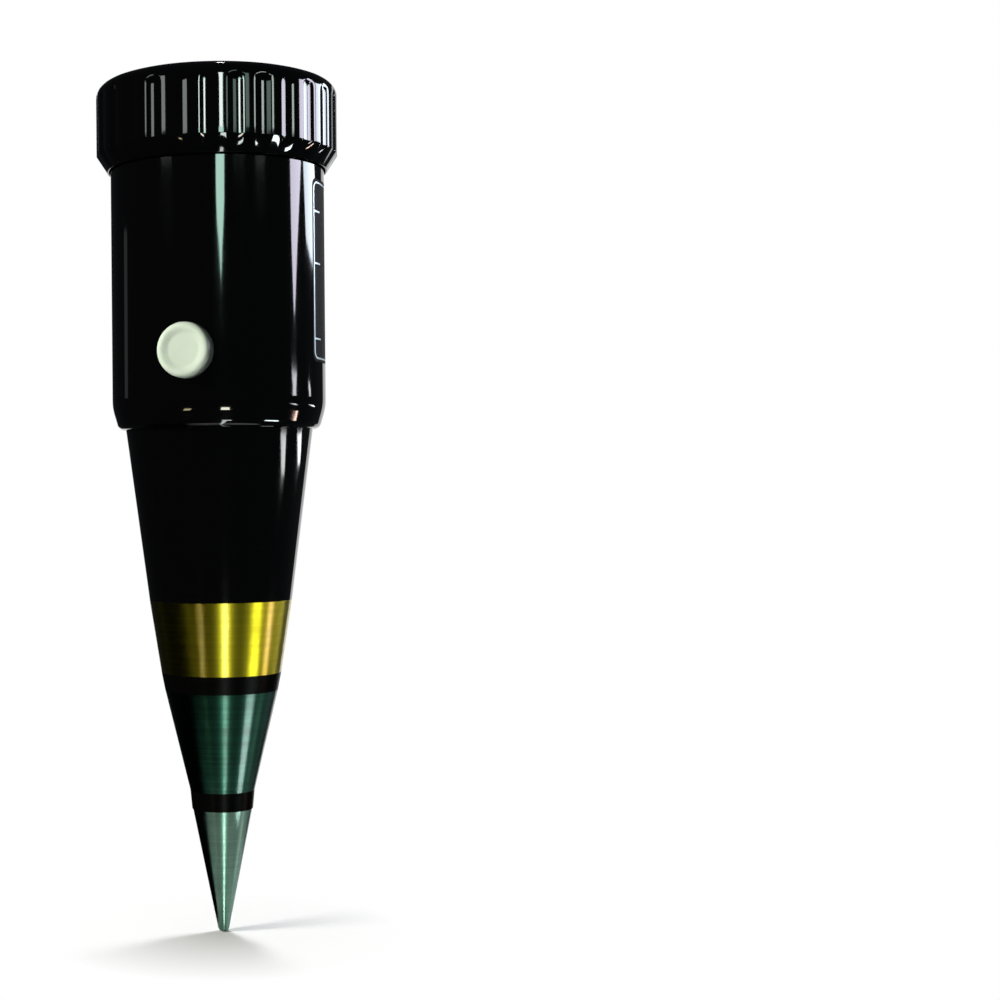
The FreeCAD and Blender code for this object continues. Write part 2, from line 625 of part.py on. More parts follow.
def make_body_shell():
    rim_outer = inner_radius + RIM_WALL
    shell = turning([
        (spigot_bore, z_barrel_bottom),
        (BARREL_RADIUS - SHOULDER_SLOPE_WIDTH, z_barrel_bottom, SHOULDER_EDGE),
        (BARREL_RADIUS, z_barrel_bottom + SHOULDER_SLOPE_HEIGHT, SHOULDER_BEND),
        (BARREL_RADIUS, z_barrel_top), (thread_root, z_barrel_top),
        (thread_root, z_rim), (inner_radius, z_rim),
        (inner_radius, z_spigot_groove + inner_radius - spigot_bore), (spigot_bore, z_spigot_groove),
    ])
    pad = along_y(BUTTON_RADIUS + PAD_WIDTH, -BARREL_RADIUS, y_pad, 0, z_button)
    switch_posts = [
        along_y(SWITCH_POST_RADIUS, -BARREL_RADIUS, y_switch_front, side * SWITCH_SCREW_OFFSET, z_button)
        for side in (-1, 1)
    ]
    posts, holes = make_posts()
    room = rod(inner_radius + RIM_WALL / 2, z_barrel_bottom, z_frame_bottom)
    inside = [piece.common(room) for piece in [pad] + switch_posts + posts]
    ridges = [
        helical_bar(
            thread_root - THREAD_BURY, head_bore - CLEAR, z_barrel_top + THREAD_START, THREAD_RIDGE_HEIGHT,
            start * 360 / THREAD_STARTS, THREAD_RIDGE_ARC)
        for start in range(THREAD_STARTS)
    ]
    shell = fused([shell] + inside + ridges)
    bore = along_y(BUTTON_RADIUS + SLIDE_FIT, -BARREL_RADIUS - OVERSHOOT, y_pad, 0, z_button)
    screw_holes = [
        along_y(SWITCH_SCREW_RADIUS + SCREW_FIT, y_switch_back - SWITCH_SCREW_LENGTH, y_switch_front,
                side * SWITCH_SCREW_OFFSET, z_button)
        for side in (-1, 1)
    ]
    recess = label_patch(BARREL_RADIUS - LABEL_RECESS, BARREL_RADIUS + OVERSHOOT, 0)
    return shell.cut(Part.makeCompound([bore] + screw_holes + holes)).cut(recess)


def make_barrel():
    save("body_shell", make_body_shell())
    low = BARREL_RADIUS - LABEL_RECESS
    save("label_plate", label_patch(low, low + LABEL_THICKNESS, SLIDE_FIT))


# ---------------------------------------------------------------- head
def make_bezel_cap():
    cap = turning([
        (head_bore, z_head_bottom), (head_bore, z_lens_top),
        (window_radius, z_lens_top), (window_radius, z_head_top - LIP_CHAMFER),
        (window_radius + LIP_CHAMFER, z_head_top), (head_radius, z_head_top, HEAD_EDGE_FILLET),
        (head_radius, z_head_bottom + HEAD_CHAMFER_HEIGHT), (head_bore + HEAD_GAP, z_head_bottom),
    ])
    lug_arc = THREAD_LUG_ARC
    z_lug = z_barrel_top + THREAD_START - THREAD_CLEARANCE - THREAD_RIDGE_HEIGHT
    lugs = [
        helical_bar(thread_root + THREAD_CLEARANCE, head_bore + THREAD_BURY, z_lug, THREAD_RIDGE_HEIGHT,
                    start * 360 / THREAD_STARTS, lug_arc)
        for start in range(THREAD_STARTS)
    ]
    cap = fused([cap] + lugs)
    cutter_radius = FLUTE_WIDTH ** 2 / (8 * FLUTE_DEPTH) + FLUTE_DEPTH / 2
    distance = head_radius - FLUTE_DEPTH + cutter_radius
    z_round_end = z_head_top - FLUTE_TOP_MARGIN - FLUTE_WIDTH / 2
    cutters = []
    for index in range(FLUTE_COUNT):
        x, y = around(distance, 360 * index / FLUTE_COUNT)
        cutters.append(rod(cutter_radius, z_head_bottom - OVERSHOOT, z_round_end, x, y))
        cutters.append(Part.makeSphere(cutter_radius, Vector(x, y, z_round_end)))
    return cap.cut(Part.makeCompound(cutters))


def make_head():
    save("bezel_cap", make_bezel_cap())
    save("lens", rod(head_bore - CLEAR - SLIDE_FIT, z_lens_bottom, z_lens_top))
    save("lens_gasket", ring(
        thread_root - SLIDE_FIT, window_radius + GASKET_SETBACK, z_rim, z_lens_bottom))


# ---------------------------------------------------------------- button and switch
SPRING_COIL_RADIUS = 2.4
BRIDGE_BAR_THICKNESS = 0.4
BRIDGE_BAR_HALF_LENGTH = 4.2
BRIDGE_BAR_HALF_WIDTH = 0.9
STEM_TAIL = 0.6
STEM_SOCKET = 0.4
STRIP_HALF_WIDTH = 0.8
STRIP_FOOT = 1.2           # contact strip's lower end below the button's axis
STRIP_RISE = 2.0           # contact strip's upper end above the base
SWITCH_BASE_MARGIN = 2.5   # base beyond its screws
SWITCH_SCREW_HEAD = 1.5
SWITCH_SCREW_HEAD_HEIGHT = 1.0
SWITCH_LEAD_SPREAD = 1.6
SWITCH_LEAD_BEND = 3.0
DISH_SLOPE = 0.5
DISH_FILLET = 0.4


def make_button_cap():
    """Moulded about Z, then laid over so that its top faces -Y."""
    height = inner_radius + BARREL_WALL + BUTTON_PROUD + y_flange
    flange = BUTTON_RADIUS + BUTTON_FLANGE_WIDTH
    body = turning([
        (0, -BUTTON_FLANGE_THICKNESS), (flange, -BUTTON_FLANGE_THICKNESS), (flange, 0),
        (BUTTON_RADIUS, 0), (BUTTON_RADIUS, height, BUTTON_EDGE),
        (BUTTON_DISH_RADIUS, height),
        (BUTTON_DISH_RADIUS - DISH_SLOPE, height - BUTTON_DISH_DEPTH, DISH_FILLET),
        (0, height - BUTTON_DISH_DEPTH),
    ])
    socket = rod(STEM_RADIUS, -BUTTON_FLANGE_THICKNESS, STEM_SOCKET)
    return placed(body.cut(socket), (0, y_flange, z_button), (0, -1, 0))


def make_button_spring():
    """Compression spring between the button's flange and the switch base, made of tilted half rings.

    Each half ring ends square to the last one's start, so the wire runs on smoothly."""
    room = y_switch_front - y_flange_back - 2 * SPRING_WIRE
    half_turns = 2 * SPRING_COILS
    halves = []
    for index in range(half_turns):
        side = 1 if index % 2 == 0 else -1
        start = Vector(side * SPRING_COIL_RADIUS, 0, room * index / half_turns)
        end = Vector(-side * SPRING_COIL_RADIUS, 0, room * (index + 1) / half_turns)
        centre = (start + end) / 2
        section = Part.Face(Part.Wire(Part.makeCircle(SPRING_WIRE, start, Vector(0, 1, 0))))
        axis = (start - centre).cross(Vector(0, side, 0))
        halves.append(section.revolve(centre, axis, 180))
    coil = halves[0].fuse(halves[1:])
    return placed(coil, (0, y_flange_back + SPRING_WIRE, z_button), (0, 1, 0))


def make_button_and_switch():
    save("button_cap", make_button_cap())
    y_bar = y_switch_back + CONTACT_THICKNESS + CLEAR
    y_bar_back = y_bar + BRIDGE_BAR_THICKNESS
    stem = along_y(STEM_RADIUS, y_flange - STEM_SOCKET, y_bar, 0, z_button)
    tail = along_y(STEM_TAIL, y_bar, y_bar_back + STEM_TAIL, 0, z_button)
    save("button_stem", fused([stem, tail]))
    bar = block(
        -BRIDGE_BAR_HALF_LENGTH, BRIDGE_BAR_HALF_LENGTH, y_bar, y_bar_back,
        z_button - BRIDGE_BAR_HALF_WIDTH, z_button + BRIDGE_BAR_HALF_WIDTH)
    save("contact_bar", bar.cut(along_y(STEM_TAIL, y_bar, y_bar_back, 0, z_button)))
    save("button_spring", make_button_spring())

    half_length = SWITCH_SCREW_OFFSET + SWITCH_BASE_MARGIN
    base = block(
        -half_length, half_length, y_switch_front, y_switch_back,
        z_button - SWITCH_BASE_HALF_HEIGHT, z_button + SWITCH_BASE_HALF_HEIGHT)
    holes = [along_y(STEM_RADIUS + SLIDE_FIT, y_switch_front, y_switch_back, 0, z_button)]
    holes += [
        along_y(SWITCH_SCREW_RADIUS + SCREW_FIT, y_switch_front, y_switch_back,
                side * SWITCH_SCREW_OFFSET, z_button)
        for side in (-1, 1)
    ]
    save("switch_base", base.cut(Part.makeCompound(holes)))
    z_strip_top = z_button + SWITCH_BASE_HALF_HEIGHT + STRIP_RISE
    strips = [
        block(side * CONTACT_OFFSET - STRIP_HALF_WIDTH, side * CONTACT_OFFSET + STRIP_HALF_WIDTH,
              y_switch_back, y_switch_back + CONTACT_THICKNESS, z_button - STRIP_FOOT, z_strip_top)
        for side in (-1, 1)
    ]
    save("switch_contacts", strips)
    one_screw = screw(
        SWITCH_SCREW_RADIUS, SWITCH_SCREW_LENGTH, SWITCH_SCREW_HEAD, SWITCH_SCREW_HEAD_HEIGHT)
    save("switch_screws", [
        placed(one_screw, (side * SWITCH_SCREW_OFFSET, y_switch_back, z_button), (0, 1, 0))
        for side in (-1, 1)
    ])
    y_wire = y_switch_back + CONTACT_THICKNESS / 2
    climb = z_board_bottom - z_strip_top
    z_low = z_strip_top + climb * LEAD_FIRST_BEND
    z_high = z_strip_top + climb * LEAD_SECOND_BEND
    bend = min(SWITCH_LEAD_BEND, climb * LEAD_FIRST_BEND)
    leads = []
    for side in (-1, 1):
        x = side * CONTACT_OFFSET
        x_board = side * (CONTACT_OFFSET + SWITCH_LEAD_SPREAD)
        y_board = y_wire + SWITCH_LEAD_SPREAD
        points = [(x, y_wire, z_strip_top), (x, y_wire, z_low),
                  (x_board, y_board, z_high), (x_board, y_board, z_board_bottom)]
        leads.append(lead(points, bend))
    save("switch_leads", leads)


# ---------------------------------------------------------------- circuit board
RESISTOR_RADIUS = 1.0
RESISTOR_LENGTH = 5.6
RESISTOR_LEG = 0.3
RESISTOR_LEG_SPAN = 7.2
RESISTOR_LIFT = 1.4        # resistor's axis above the board
RESISTOR_ROWS = (-8.0, -4.0, 4.0, 8.0)
RESISTOR_Y = 4.0
TRIMMER_SIDE = 6.4
TRIMMER_HEIGHT = 3.6
TRIMMER_Y = -5.8
TRIMMER_WHEEL = 2.2
TRIMMER_WHEEL_HEIGHT = 0.8


def along_x(radius, length, z):
    """Cylinder centred on the axis, with its own axis along X."""
    return Part.makeCylinder(radius, length, Vector(-length / 2, 0, z), Vector(1, 0, 0))


def make_resistor(x):
    """Axial resistor lying along Y on two bent legs."""
    z_axis = z_board_top + RESISTOR_LIFT
    body = along_x(RESISTOR_RADIUS, RESISTOR_LENGTH, z_axis)
    wire = along_x(RESISTOR_LEG, RESISTOR_LEG_SPAN, z_axis)
    legs = [rod(RESISTOR_LEG, z_board_top, z_axis, side * RESISTOR_LEG_SPAN / 2, 0) for side in (-1, 1)]
    shape = turned(fused([body, wire] + legs), 90)
    shape.translate(Vector(x, RESISTOR_Y, 0))
    return shape


def make_trimmer():
    """Square preset potentiometer with a slotted wheel on top."""
    half = TRIMMER_SIDE / 2
    z_case = z_board_top + TRIMMER_HEIGHT
    z_wheel = z_case + TRIMMER_WHEEL_HEIGHT
    case = block(-half, half, TRIMMER_Y - half, TRIMMER_Y + half, z_board_top, z_case)
    wheel = rod(TRIMMER_WHEEL, z_case, z_wheel, 0, TRIMMER_Y)
    slot = block(
        -TRIMMER_WHEEL, TRIMMER_WHEEL, TRIMMER_Y - SLOT_HALF_WIDTH, TRIMMER_Y + SLOT_HALF_WIDTH,
        z_wheel - TRIMMER_WHEEL_HEIGHT / 2, z_wheel)
    return fused([case, wheel]).cut(slot)


def make_electronics():
    board = rod(spigot_bore - CLEAR, z_board_bottom, z_board_top)
    holes = []
    screws = []
    for degrees in POST_ANGLES:
        x, y = around(post_distance, degrees)
        holes.append(rod(METER_SCREW_RADIUS + SCREW_FIT, z_board_bottom, z_board_top, x, y))
        one = screw(METER_SCREW_RADIUS, METER_SCREW_LENGTH, METER_SCREW_HEAD, METER_SCREW_HEAD_HEIGHT)
        screws.append(placed(one, (x, y, z_board_bottom), (0, 0, -1)))
    save("circuit_board", board.cut(Part.makeCompound(holes)))
    save("board_screws", screws)
    save("resistors", [make_resistor(x) for x in RESISTOR_ROWS])
    save("trimmer", make_trimmer())


# ---------------------------------------------------------------- meter movement
FIXING_RADIUS = 0.6
FIXING_HEAD = 1.0
FIXING_HEAD_HEIGHT = 0.5
FIXING_REACH = 4.0
YOKE_SCREW_RADIUS = 0.45
YOKE_SCREW_HEAD = 0.8
YOKE_SCREW_LENGTH = 4.5
DIAL_POST_RADIUS = 1.3
DIAL_POST_X = 7.0
DIAL_POST_Y = -1.55
RIVET_RADIUS = 0.3
RIVET_HEAD = 0.45
RIVET_HEAD_HEIGHT = 0.2
STOP_DISTANCE = 5.6
STOP_RADIUS = 0.3
METER_LEAD_RISE = 0.8      # bridge lead's turn above the frame
METER_LEAD_GAP = 1.7       # bridge lead in front of the bridge
METER_LEAD_SIDE = 0.7      # bracket lead's place, as a share of the way out to the bracket's leg
METER_LEAD_KINK = 4.0      # bracket lead's step towards the pivot
METER_LEAD_KINK_RISE = 2.0
METER_LEAD_BEND = 1.4
BRIDGE_LEAD_BEND = 1.0
COLLET_RADIUS = 1.0
PRESS_FIT = 0.02           # between a staff and what is pressed on it
STAFF_FOOT_RADIUS = 1.2
STAFF_FOOT = 0.3
STAFF_PLAY = 0.1           # end play between a staff and its jewel
LOWER_SPRING_LIFT = 1.3    # lower hairspring above the bracket
JEWEL_REACH = 0.8          # lower jewel screw's cup end above the bracket
JEWEL_SLOT_DEPTH = 0.4
HUB_RADIUS = 1.4
BLADE_LIFT = 0.2           # pointer's sheet above the hub's lower face
BLADE_OVER_DIAL = 0.7
CRANK_START_INSET = 1.9    # pointer's crank, in from the dial's notch
CRANK_END_INSET = 0.8
TAIL_HALF_WIDTH = 0.35
TAIL_SPREAD = 25           # degrees each side of the blade's line
WEIGHT_RADIUS = 0.5
WEIGHT_LENGTH = 1.2
WEIGHT_OVERHANG = 0.3
CLAMP_HALF_WIDTH = 1.5
CLAMP_INSET = 1.5          # core clamps, in from the ends of the core
ARM_RING_WALL = 0.8
ARM_BAR_HALF_WIDTH = 0.5
tail_length = skirt_inner - CLEAR - abs(pivot_y) - WEIGHT_OVERHANG - SLIDE_FIT
yoke_screw_x = (yoke_bore + yoke_radius) / 2
pointer_swing_middle = (POINTER_MIN + POINTER_MAX) / 2
coil_rest = pointer_swing_middle - POINTER_REST
z_former_top = z_core_top + CLEAR
z_former_bottom = z_core_bottom - CLEAR
z_coil_top = z_former_top + FORMER_THICKNESS + COIL_THICKNESS
z_coil_bottom = z_former_bottom - FORMER_THICKNESS - COIL_THICKNESS
z_lower_spring = z_bracket_top + LOWER_SPRING_LIFT
y_lead_hole = pivot_y + BRIDGE_HALF_WIDTH + METER_LEAD_GAP


def stop_positions():
    """Two stop pins, each a clear gap beyond the pointer's limit."""
    side = POINTER_ROOT_HALF_WIDTH + STOP_RADIUS + CLEAR
    margin = math.degrees(math.asin(side / STOP_DISTANCE))
    return [on_dial(STOP_DISTANCE, POINTER_MIN - margin), on_dial(STOP_DISTANCE, POINTER_MAX + margin)]


def make_meter_frame():
    base = rod(frame_radius, z_frame_bottom, z_frame_top)
    rim = ring(frame_radius, frame_rim_inner, z_frame_top, z_dial_bottom)
    dial_posts = [
        rod(DIAL_POST_RADIUS, z_frame_top, z_dial_bottom, side * DIAL_POST_X, DIAL_POST_Y)
        for side in (-1, 1)
    ]
    frame = fused([base, rim] + dial_posts)
    cuts = [rod(yoke_bore, z_frame_bottom, z_frame_top, 0, pivot_y)]
    for degrees in POST_ANGLES:
        x, y = around(post_distance, degrees)
        cuts.append(rod(METER_SCREW_RADIUS + SCREW_FIT, z_frame_bottom, z_frame_top, x, y))
    for side in (-1, 1):
        fixing = FIXING_RADIUS + SCREW_FIT
        cuts.append(rod(fixing, z_frame_bottom, z_frame_top, side * bridge_leg_x, pivot_y))
        yoke_hole = YOKE_SCREW_RADIUS + SCREW_FIT
        cuts.append(rod(yoke_hole, z_frame_bottom, z_frame_top, side * yoke_screw_x, pivot_y))
        rivet_hole = RIVET_RADIUS + SCREW_FIT
        cuts.append(rod(rivet_hole, z_frame_top, z_dial_bottom, side * DIAL_POST_X, DIAL_POST_Y))
    for x, y in stop_positions():
        cuts.append(rod(STOP_RADIUS + SCREW_FIT, z_frame_bottom, z_frame_top, x, y))
    cuts.append(rod(LEAD_RADIUS + CLEAR, z_frame_bottom, z_frame_top, -bridge_leg_x, y_lead_hole))
    return frame.cut(Part.makeCompound(cuts))


def make_bridge():
    """Bar over the pivot on two legs, which carries the upper jewel screw."""
    bar = block(
        -bridge_reach, bridge_reach, pivot_y - BRIDGE_HALF_WIDTH, pivot_y + BRIDGE_HALF_WIDTH,
        z_bridge, z_bridge + BRIDGE_THICKNESS)
    legs = [
        block(side * bridge_leg_x - BRIDGE_LEG / 2, side * bridge_leg_x + BRIDGE_LEG / 2,
              pivot_y - BRIDGE_HALF_WIDTH, pivot_y + BRIDGE_HALF_WIDTH, z_frame_top, z_bridge)
        for side in (-1, 1)
    ]
    cuts = [rod(JEWEL_RADIUS, z_bridge, z_bridge + BRIDGE_THICKNESS, 0, pivot_y)]
    for side in (-1, 1):
        cuts.append(rod(FIXING_RADIUS + SCREW_FIT, z_frame_top, z_bridge + BRIDGE_THICKNESS,
                        side * bridge_leg_x, pivot_y))
    return fused([bar] + legs).cut(Part.makeCompound(cuts))


def make_lower_bracket():
    """Bar under the coil on two legs, with the lower jewel screw and the lower spring's stud."""
    z_low = z_bracket_top - BRACKET_THICKNESS
    bar = block(
        -bridge_reach, bridge_reach, pivot_y - BRIDGE_HALF_WIDTH, pivot_y + BRIDGE_HALF_WIDTH,
        z_low, z_bracket_top)
    legs = [
        block(side * bridge_leg_x - BRIDGE_LEG / 2, side * bridge_leg_x + BRIDGE_LEG / 2,
              pivot_y - BRIDGE_HALF_WIDTH, pivot_y + BRIDGE_HALF_WIDTH, z_bracket_top, z_frame_bottom)
        for side in (-1, 1)
    ]
    stud = rod(STOP_RADIUS, z_bracket_top, z_lower_spring + SPRING_HEIGHT,
               SPRING_OUTER_RADIUS + STOP_RADIUS, pivot_y)
    cuts = [rod(JEWEL_RADIUS, z_low, z_bracket_top, 0, pivot_y)]
    for side in (-1, 1):
        cuts.append(rod(FIXING_RADIUS + SCREW_FIT, z_frame_bottom - FIXING_REACH, z_frame_bottom,
                        side * bridge_leg_x, pivot_y))
    return fused([bar, stud] + legs).cut(Part.makeCompound(cuts))


def jewel_screw(z_low, z_high, cup_low, cup_high, slot_low, slot_high):
    """Screw with a jewelled cup for the staff at one end and a slot at the other."""
    body = rod(JEWEL_RADIUS, z_low, z_high, 0, pivot_y)
    cup = rod(STAFF_RADIUS + STAFF_FIT, cup_low, cup_high, 0, pivot_y)
    slot = block(
        -JEWEL_RADIUS, JEWEL_RADIUS, pivot_y - SLOT_HALF_WIDTH, pivot_y + SLOT_HALF_WIDTH,
        slot_low, slot_high)
    return body.cut(cup).cut(slot)


def hairspring(z_low):
    """Flat spiral strip, each half turn an arc, from the staff's collet out to its stud."""
    half_turns = 2 * SPRING_TURNS
    step = (SPRING_OUTER_RADIUS - COLLET_RADIUS) / half_turns
    sides = []
    for offset in (0.0, SPRING_STRIP):
        points = [SPRING_OUTER_RADIUS - offset]
        for index in range(1, half_turns + 1):
            radius = SPRING_OUTER_RADIUS - step * index - offset
            points.append(radius if index % 2 == 0 else -radius)
        arcs = []
        for index in range(half_turns):
            start, end = points[index], points[index + 1]
            middle_x = (start + end) / 2
            bulge = abs(start - end) / 2 * (1 if index % 2 == 0 else -1)
            arcs.append(Part.Arc(
                Vector(start, pivot_y, z_low), Vector(middle_x, pivot_y + bulge, z_low),
                Vector(end, pivot_y, z_low)).toShape())
        sides.append((arcs, points))
    (outer, outer_points), (inner, inner_points) = sides
    outer_cap = Part.makeLine(
        Vector(outer_points[0], pivot_y, z_low), Vector(inner_points[0], pivot_y, z_low))
    inner_cap = Part.makeLine(
        Vector(outer_points[-1], pivot_y, z_low), Vector(inner_points[-1], pivot_y, z_low))
    wire = Part.Wire(outer + [inner_cap] + list(reversed(inner)) + [outer_cap])
    return Part.Face(wire).extrude(Vector(0, 0, SPRING_HEIGHT))


def make_coil(inner_half, thickness, z_low, z_high):
    """Upright rectangular loop round the core, in the plane of the pivot."""
    outer_half = inner_half + thickness
    half_depth = COIL_DEPTH / 2
    outer = block(
        -outer_half, outer_half, -half_depth, half_depth, z_low - thickness, z_high + thickness)
    inner = block(-inner_half, inner_half, -half_depth, half_depth, z_low, z_high)
    loop = outer.cut(inner)
    loop = turned(loop, coil_rest)
    loop.translate(Vector(0, pivot_y, 0))
    return loop


def make_pointer():
    """Blade cut from sheet: low at the hub, cranked up through the dial's notch, tapered to its tip."""
    crank_start = DIAL_NOTCH_RADIUS - CRANK_START_INSET
    crank_end = DIAL_NOTCH_RADIUS - CRANK_END_INSET
    z_low = z_hub + BLADE_LIFT
    z_high = z_dial + BLADE_OVER_DIAL
    side_view = [
        (0, z_low), (crank_start, z_low), (crank_end, z_high), (POINTER_LENGTH, z_high),
        (POINTER_LENGTH, z_high + POINTER_SHEET), (crank_end - POINTER_SHEET / 2, z_high + POINTER_SHEET),
        (crank_start - POINTER_SHEET / 2, z_low + POINTER_SHEET), (0, z_low + POINTER_SHEET),
    ]
    corners = [Vector(-HUB_RADIUS, y, z) for y, z in side_view]
    sheet = Part.Face(Part.makePolygon(corners + corners[:1])).extrude(Vector(2 * HUB_RADIUS, 0, 0))
    root, tip = POINTER_ROOT_HALF_WIDTH, POINTER_TIP_HALF_WIDTH
    plan = prism(
        [(-root, 0), (root, 0), (tip, POINTER_LENGTH), (-tip, POINTER_LENGTH)], z_hub, z_high + OVERSHOOT)
    blade = sheet.common(plan)
    tails = []
    for side in (-1, 1):
        tail = block(
            -TAIL_HALF_WIDTH, TAIL_HALF_WIDTH, -tail_length, 0, z_low, z_low + POINTER_SHEET)
        tails.append(turned(tail, side * TAIL_SPREAD))
    hub = rod(HUB_RADIUS, z_hub, z_hub + HUB_HEIGHT)
    staff_hole = rod(STAFF_RADIUS + PRESS_FIT, z_hub, z_hub + HUB_HEIGHT)
    pointer = fused([hub, blade] + tails).cut(staff_hole)
    pointer = turned(pointer, -POINTER_REST)
    pointer.translate(Vector(0, pivot_y, 0))
    return pointer


def make_balance_weights():
    """Two small weights crimped on the pointer's tails."""
    weights = []
    z_low = z_hub + BLADE_LIFT
    z_middle = z_low + POINTER_SHEET / 2
    start = Vector(0, -tail_length - WEIGHT_OVERHANG, z_middle)
    for side in (-1, 1):
        weight = Part.makeCylinder(WEIGHT_RADIUS, WEIGHT_LENGTH, start, Vector(0, 1, 0))
        slot = block(
            -TAIL_HALF_WIDTH, TAIL_HALF_WIDTH, -tail_length, 0, z_low, z_low + POINTER_SHEET)
        shape = turned(weight.cut(slot), side * TAIL_SPREAD - POINTER_REST)
        shape.translate(Vector(0, pivot_y, 0))
        weights.append(shape)
    return weights


def make_movement():
    save("meter_frame", make_meter_frame())
    meter_screw = screw(
        METER_SCREW_RADIUS, METER_SCREW_LENGTH + FRAME_BASE, METER_SCREW_HEAD, METER_SCREW_HEAD_HEIGHT)
    save("meter_screws", [
        placed(meter_screw, (*around(post_distance, degrees), z_frame_top)) for degrees in POST_ANGLES
    ])
    yoke = ring(yoke_radius, yoke_bore, z_yoke_bottom, z_frame_bottom, 0, pivot_y)
    yoke_holes = [
        rod(YOKE_SCREW_RADIUS + SCREW_FIT, z_frame_bottom - YOKE_SCREW_LENGTH + FRAME_BASE,
            z_frame_bottom, side * yoke_screw_x, pivot_y)
        for side in (-1, 1)
    ]
    save("yoke_ring", yoke.cut(Part.makeCompound(yoke_holes)))
    yoke_screw = screw(YOKE_SCREW_RADIUS, YOKE_SCREW_LENGTH, YOKE_SCREW_HEAD, FIXING_HEAD_HEIGHT)
    save("yoke_screws", [
        placed(yoke_screw, (side * yoke_screw_x, pivot_y, z_frame_top)) for side in (-1, 1)
    ])
    save("core_magnet", rod(CORE_RADIUS, z_core_bottom, z_core_top, 0, pivot_y))
    gap = ring(yoke_bore, CORE_RADIUS, z_core_bottom + CLAMP_INSET, z_core_top - CLAMP_INSET, 0, pivot_y)
    save("core_clamps", [
        gap.common(block(-CLAMP_HALF_WIDTH, CLAMP_HALF_WIDTH, y_low, y_high, z_core_bottom, z_core_top))
        for y_low, y_high in ((pivot_y, pivot_y + yoke_radius), (pivot_y - yoke_radius, pivot_y))
    ])
    save("upper_bridge", make_bridge())
    save("lower_bracket", make_lower_bracket())
    fixing_length = z_bridge + BRIDGE_THICKNESS - z_frame_bottom + FIXING_REACH
    fixing = screw(FIXING_RADIUS, fixing_length, FIXING_HEAD, FIXING_HEAD_HEIGHT)
    save("bridge_screws", [
        placed(fixing, (side * bridge_leg_x, pivot_y, z_bridge + BRIDGE_THICKNESS)) for side in (-1, 1)
    ])
    z_screw = z_spring + SPRING_HEIGHT + STAFF_PLAY
    z_screw_top = z_bridge + BRIDGE_THICKNESS + JEWEL_STAND_OUT
    z_staff_top = z_bridge - STAFF_PLAY
    save("upper_jewel_screw", jewel_screw(
        z_screw, z_screw_top, z_screw, z_staff_top + STAFF_PLAY,
        z_screw_top - JEWEL_SLOT_DEPTH, z_screw_top))
    z_low_screw = z_bracket_top - BRACKET_THICKNESS - JEWEL_STAND_OUT
    z_low_screw_top = z_bracket_top + JEWEL_REACH
    z_staff_bottom = z_low_screw_top - JEWEL_REACH
    save("lower_jewel_screw", jewel_screw(
        z_low_screw, z_low_screw_top, z_staff_bottom - STAFF_PLAY, z_low_screw_top,
        z_low_screw, z_low_screw + JEWEL_SLOT_DEPTH))
    save("pointer_stops", [
        rod(STOP_RADIUS, z_frame_bottom, z_hub + HUB_HEIGHT + CLEAR, x, y) for x, y in stop_positions()
    ])

    save("lower_hairspring", hairspring(z_lower_spring))
    save("upper_hairspring", hairspring(z_spring))
    arm_ring = ring(
        JEWEL_RADIUS + ARM_RING_WALL, JEWEL_RADIUS + STAFF_FIT, z_arm, z_arm + ARM_HEIGHT, 0, pivot_y)
    arm_end = SPRING_OUTER_RADIUS + STOP_RADIUS
    arm_bar = block(
        JEWEL_RADIUS + ARM_RING_WALL / 2, arm_end + STOP_RADIUS,
        pivot_y - ARM_BAR_HALF_WIDTH, pivot_y + ARM_BAR_HALF_WIDTH, z_arm, z_arm + ARM_HEIGHT)
    arm_pin = rod(STOP_RADIUS, z_spring, z_arm, arm_end, pivot_y)
    save("zero_arm", fused([arm_ring, arm_bar, arm_pin]))

    save("coil_former", make_coil(former_half, FORMER_THICKNESS, z_former_bottom, z_former_top))
    save("moving_coil", make_coil(
        coil_half, COIL_THICKNESS, z_former_bottom - FORMER_THICKNESS, z_former_top + FORMER_THICKNESS))
    save("pivot_staffs", [
        fused([rod(STAFF_FOOT_RADIUS, z_coil_top, z_coil_top + STAFF_FOOT, 0, pivot_y),
               rod(STAFF_RADIUS, z_coil_top, z_staff_top, 0, pivot_y)]),
        fused([rod(STAFF_FOOT_RADIUS, z_coil_bottom - STAFF_FOOT, z_coil_bottom, 0, pivot_y),
               rod(STAFF_RADIUS, z_staff_bottom, z_coil_bottom, 0, pivot_y)]),
    ])
    save("spring_collets", [
        ring(COLLET_RADIUS - SPRING_STRIP, STAFF_RADIUS + PRESS_FIT, z, z + SPRING_HEIGHT, 0, pivot_y)
        for z in (z_lower_spring, z_spring)
    ])
    save("pointer", make_pointer())
    save("balance_weights", make_balance_weights())


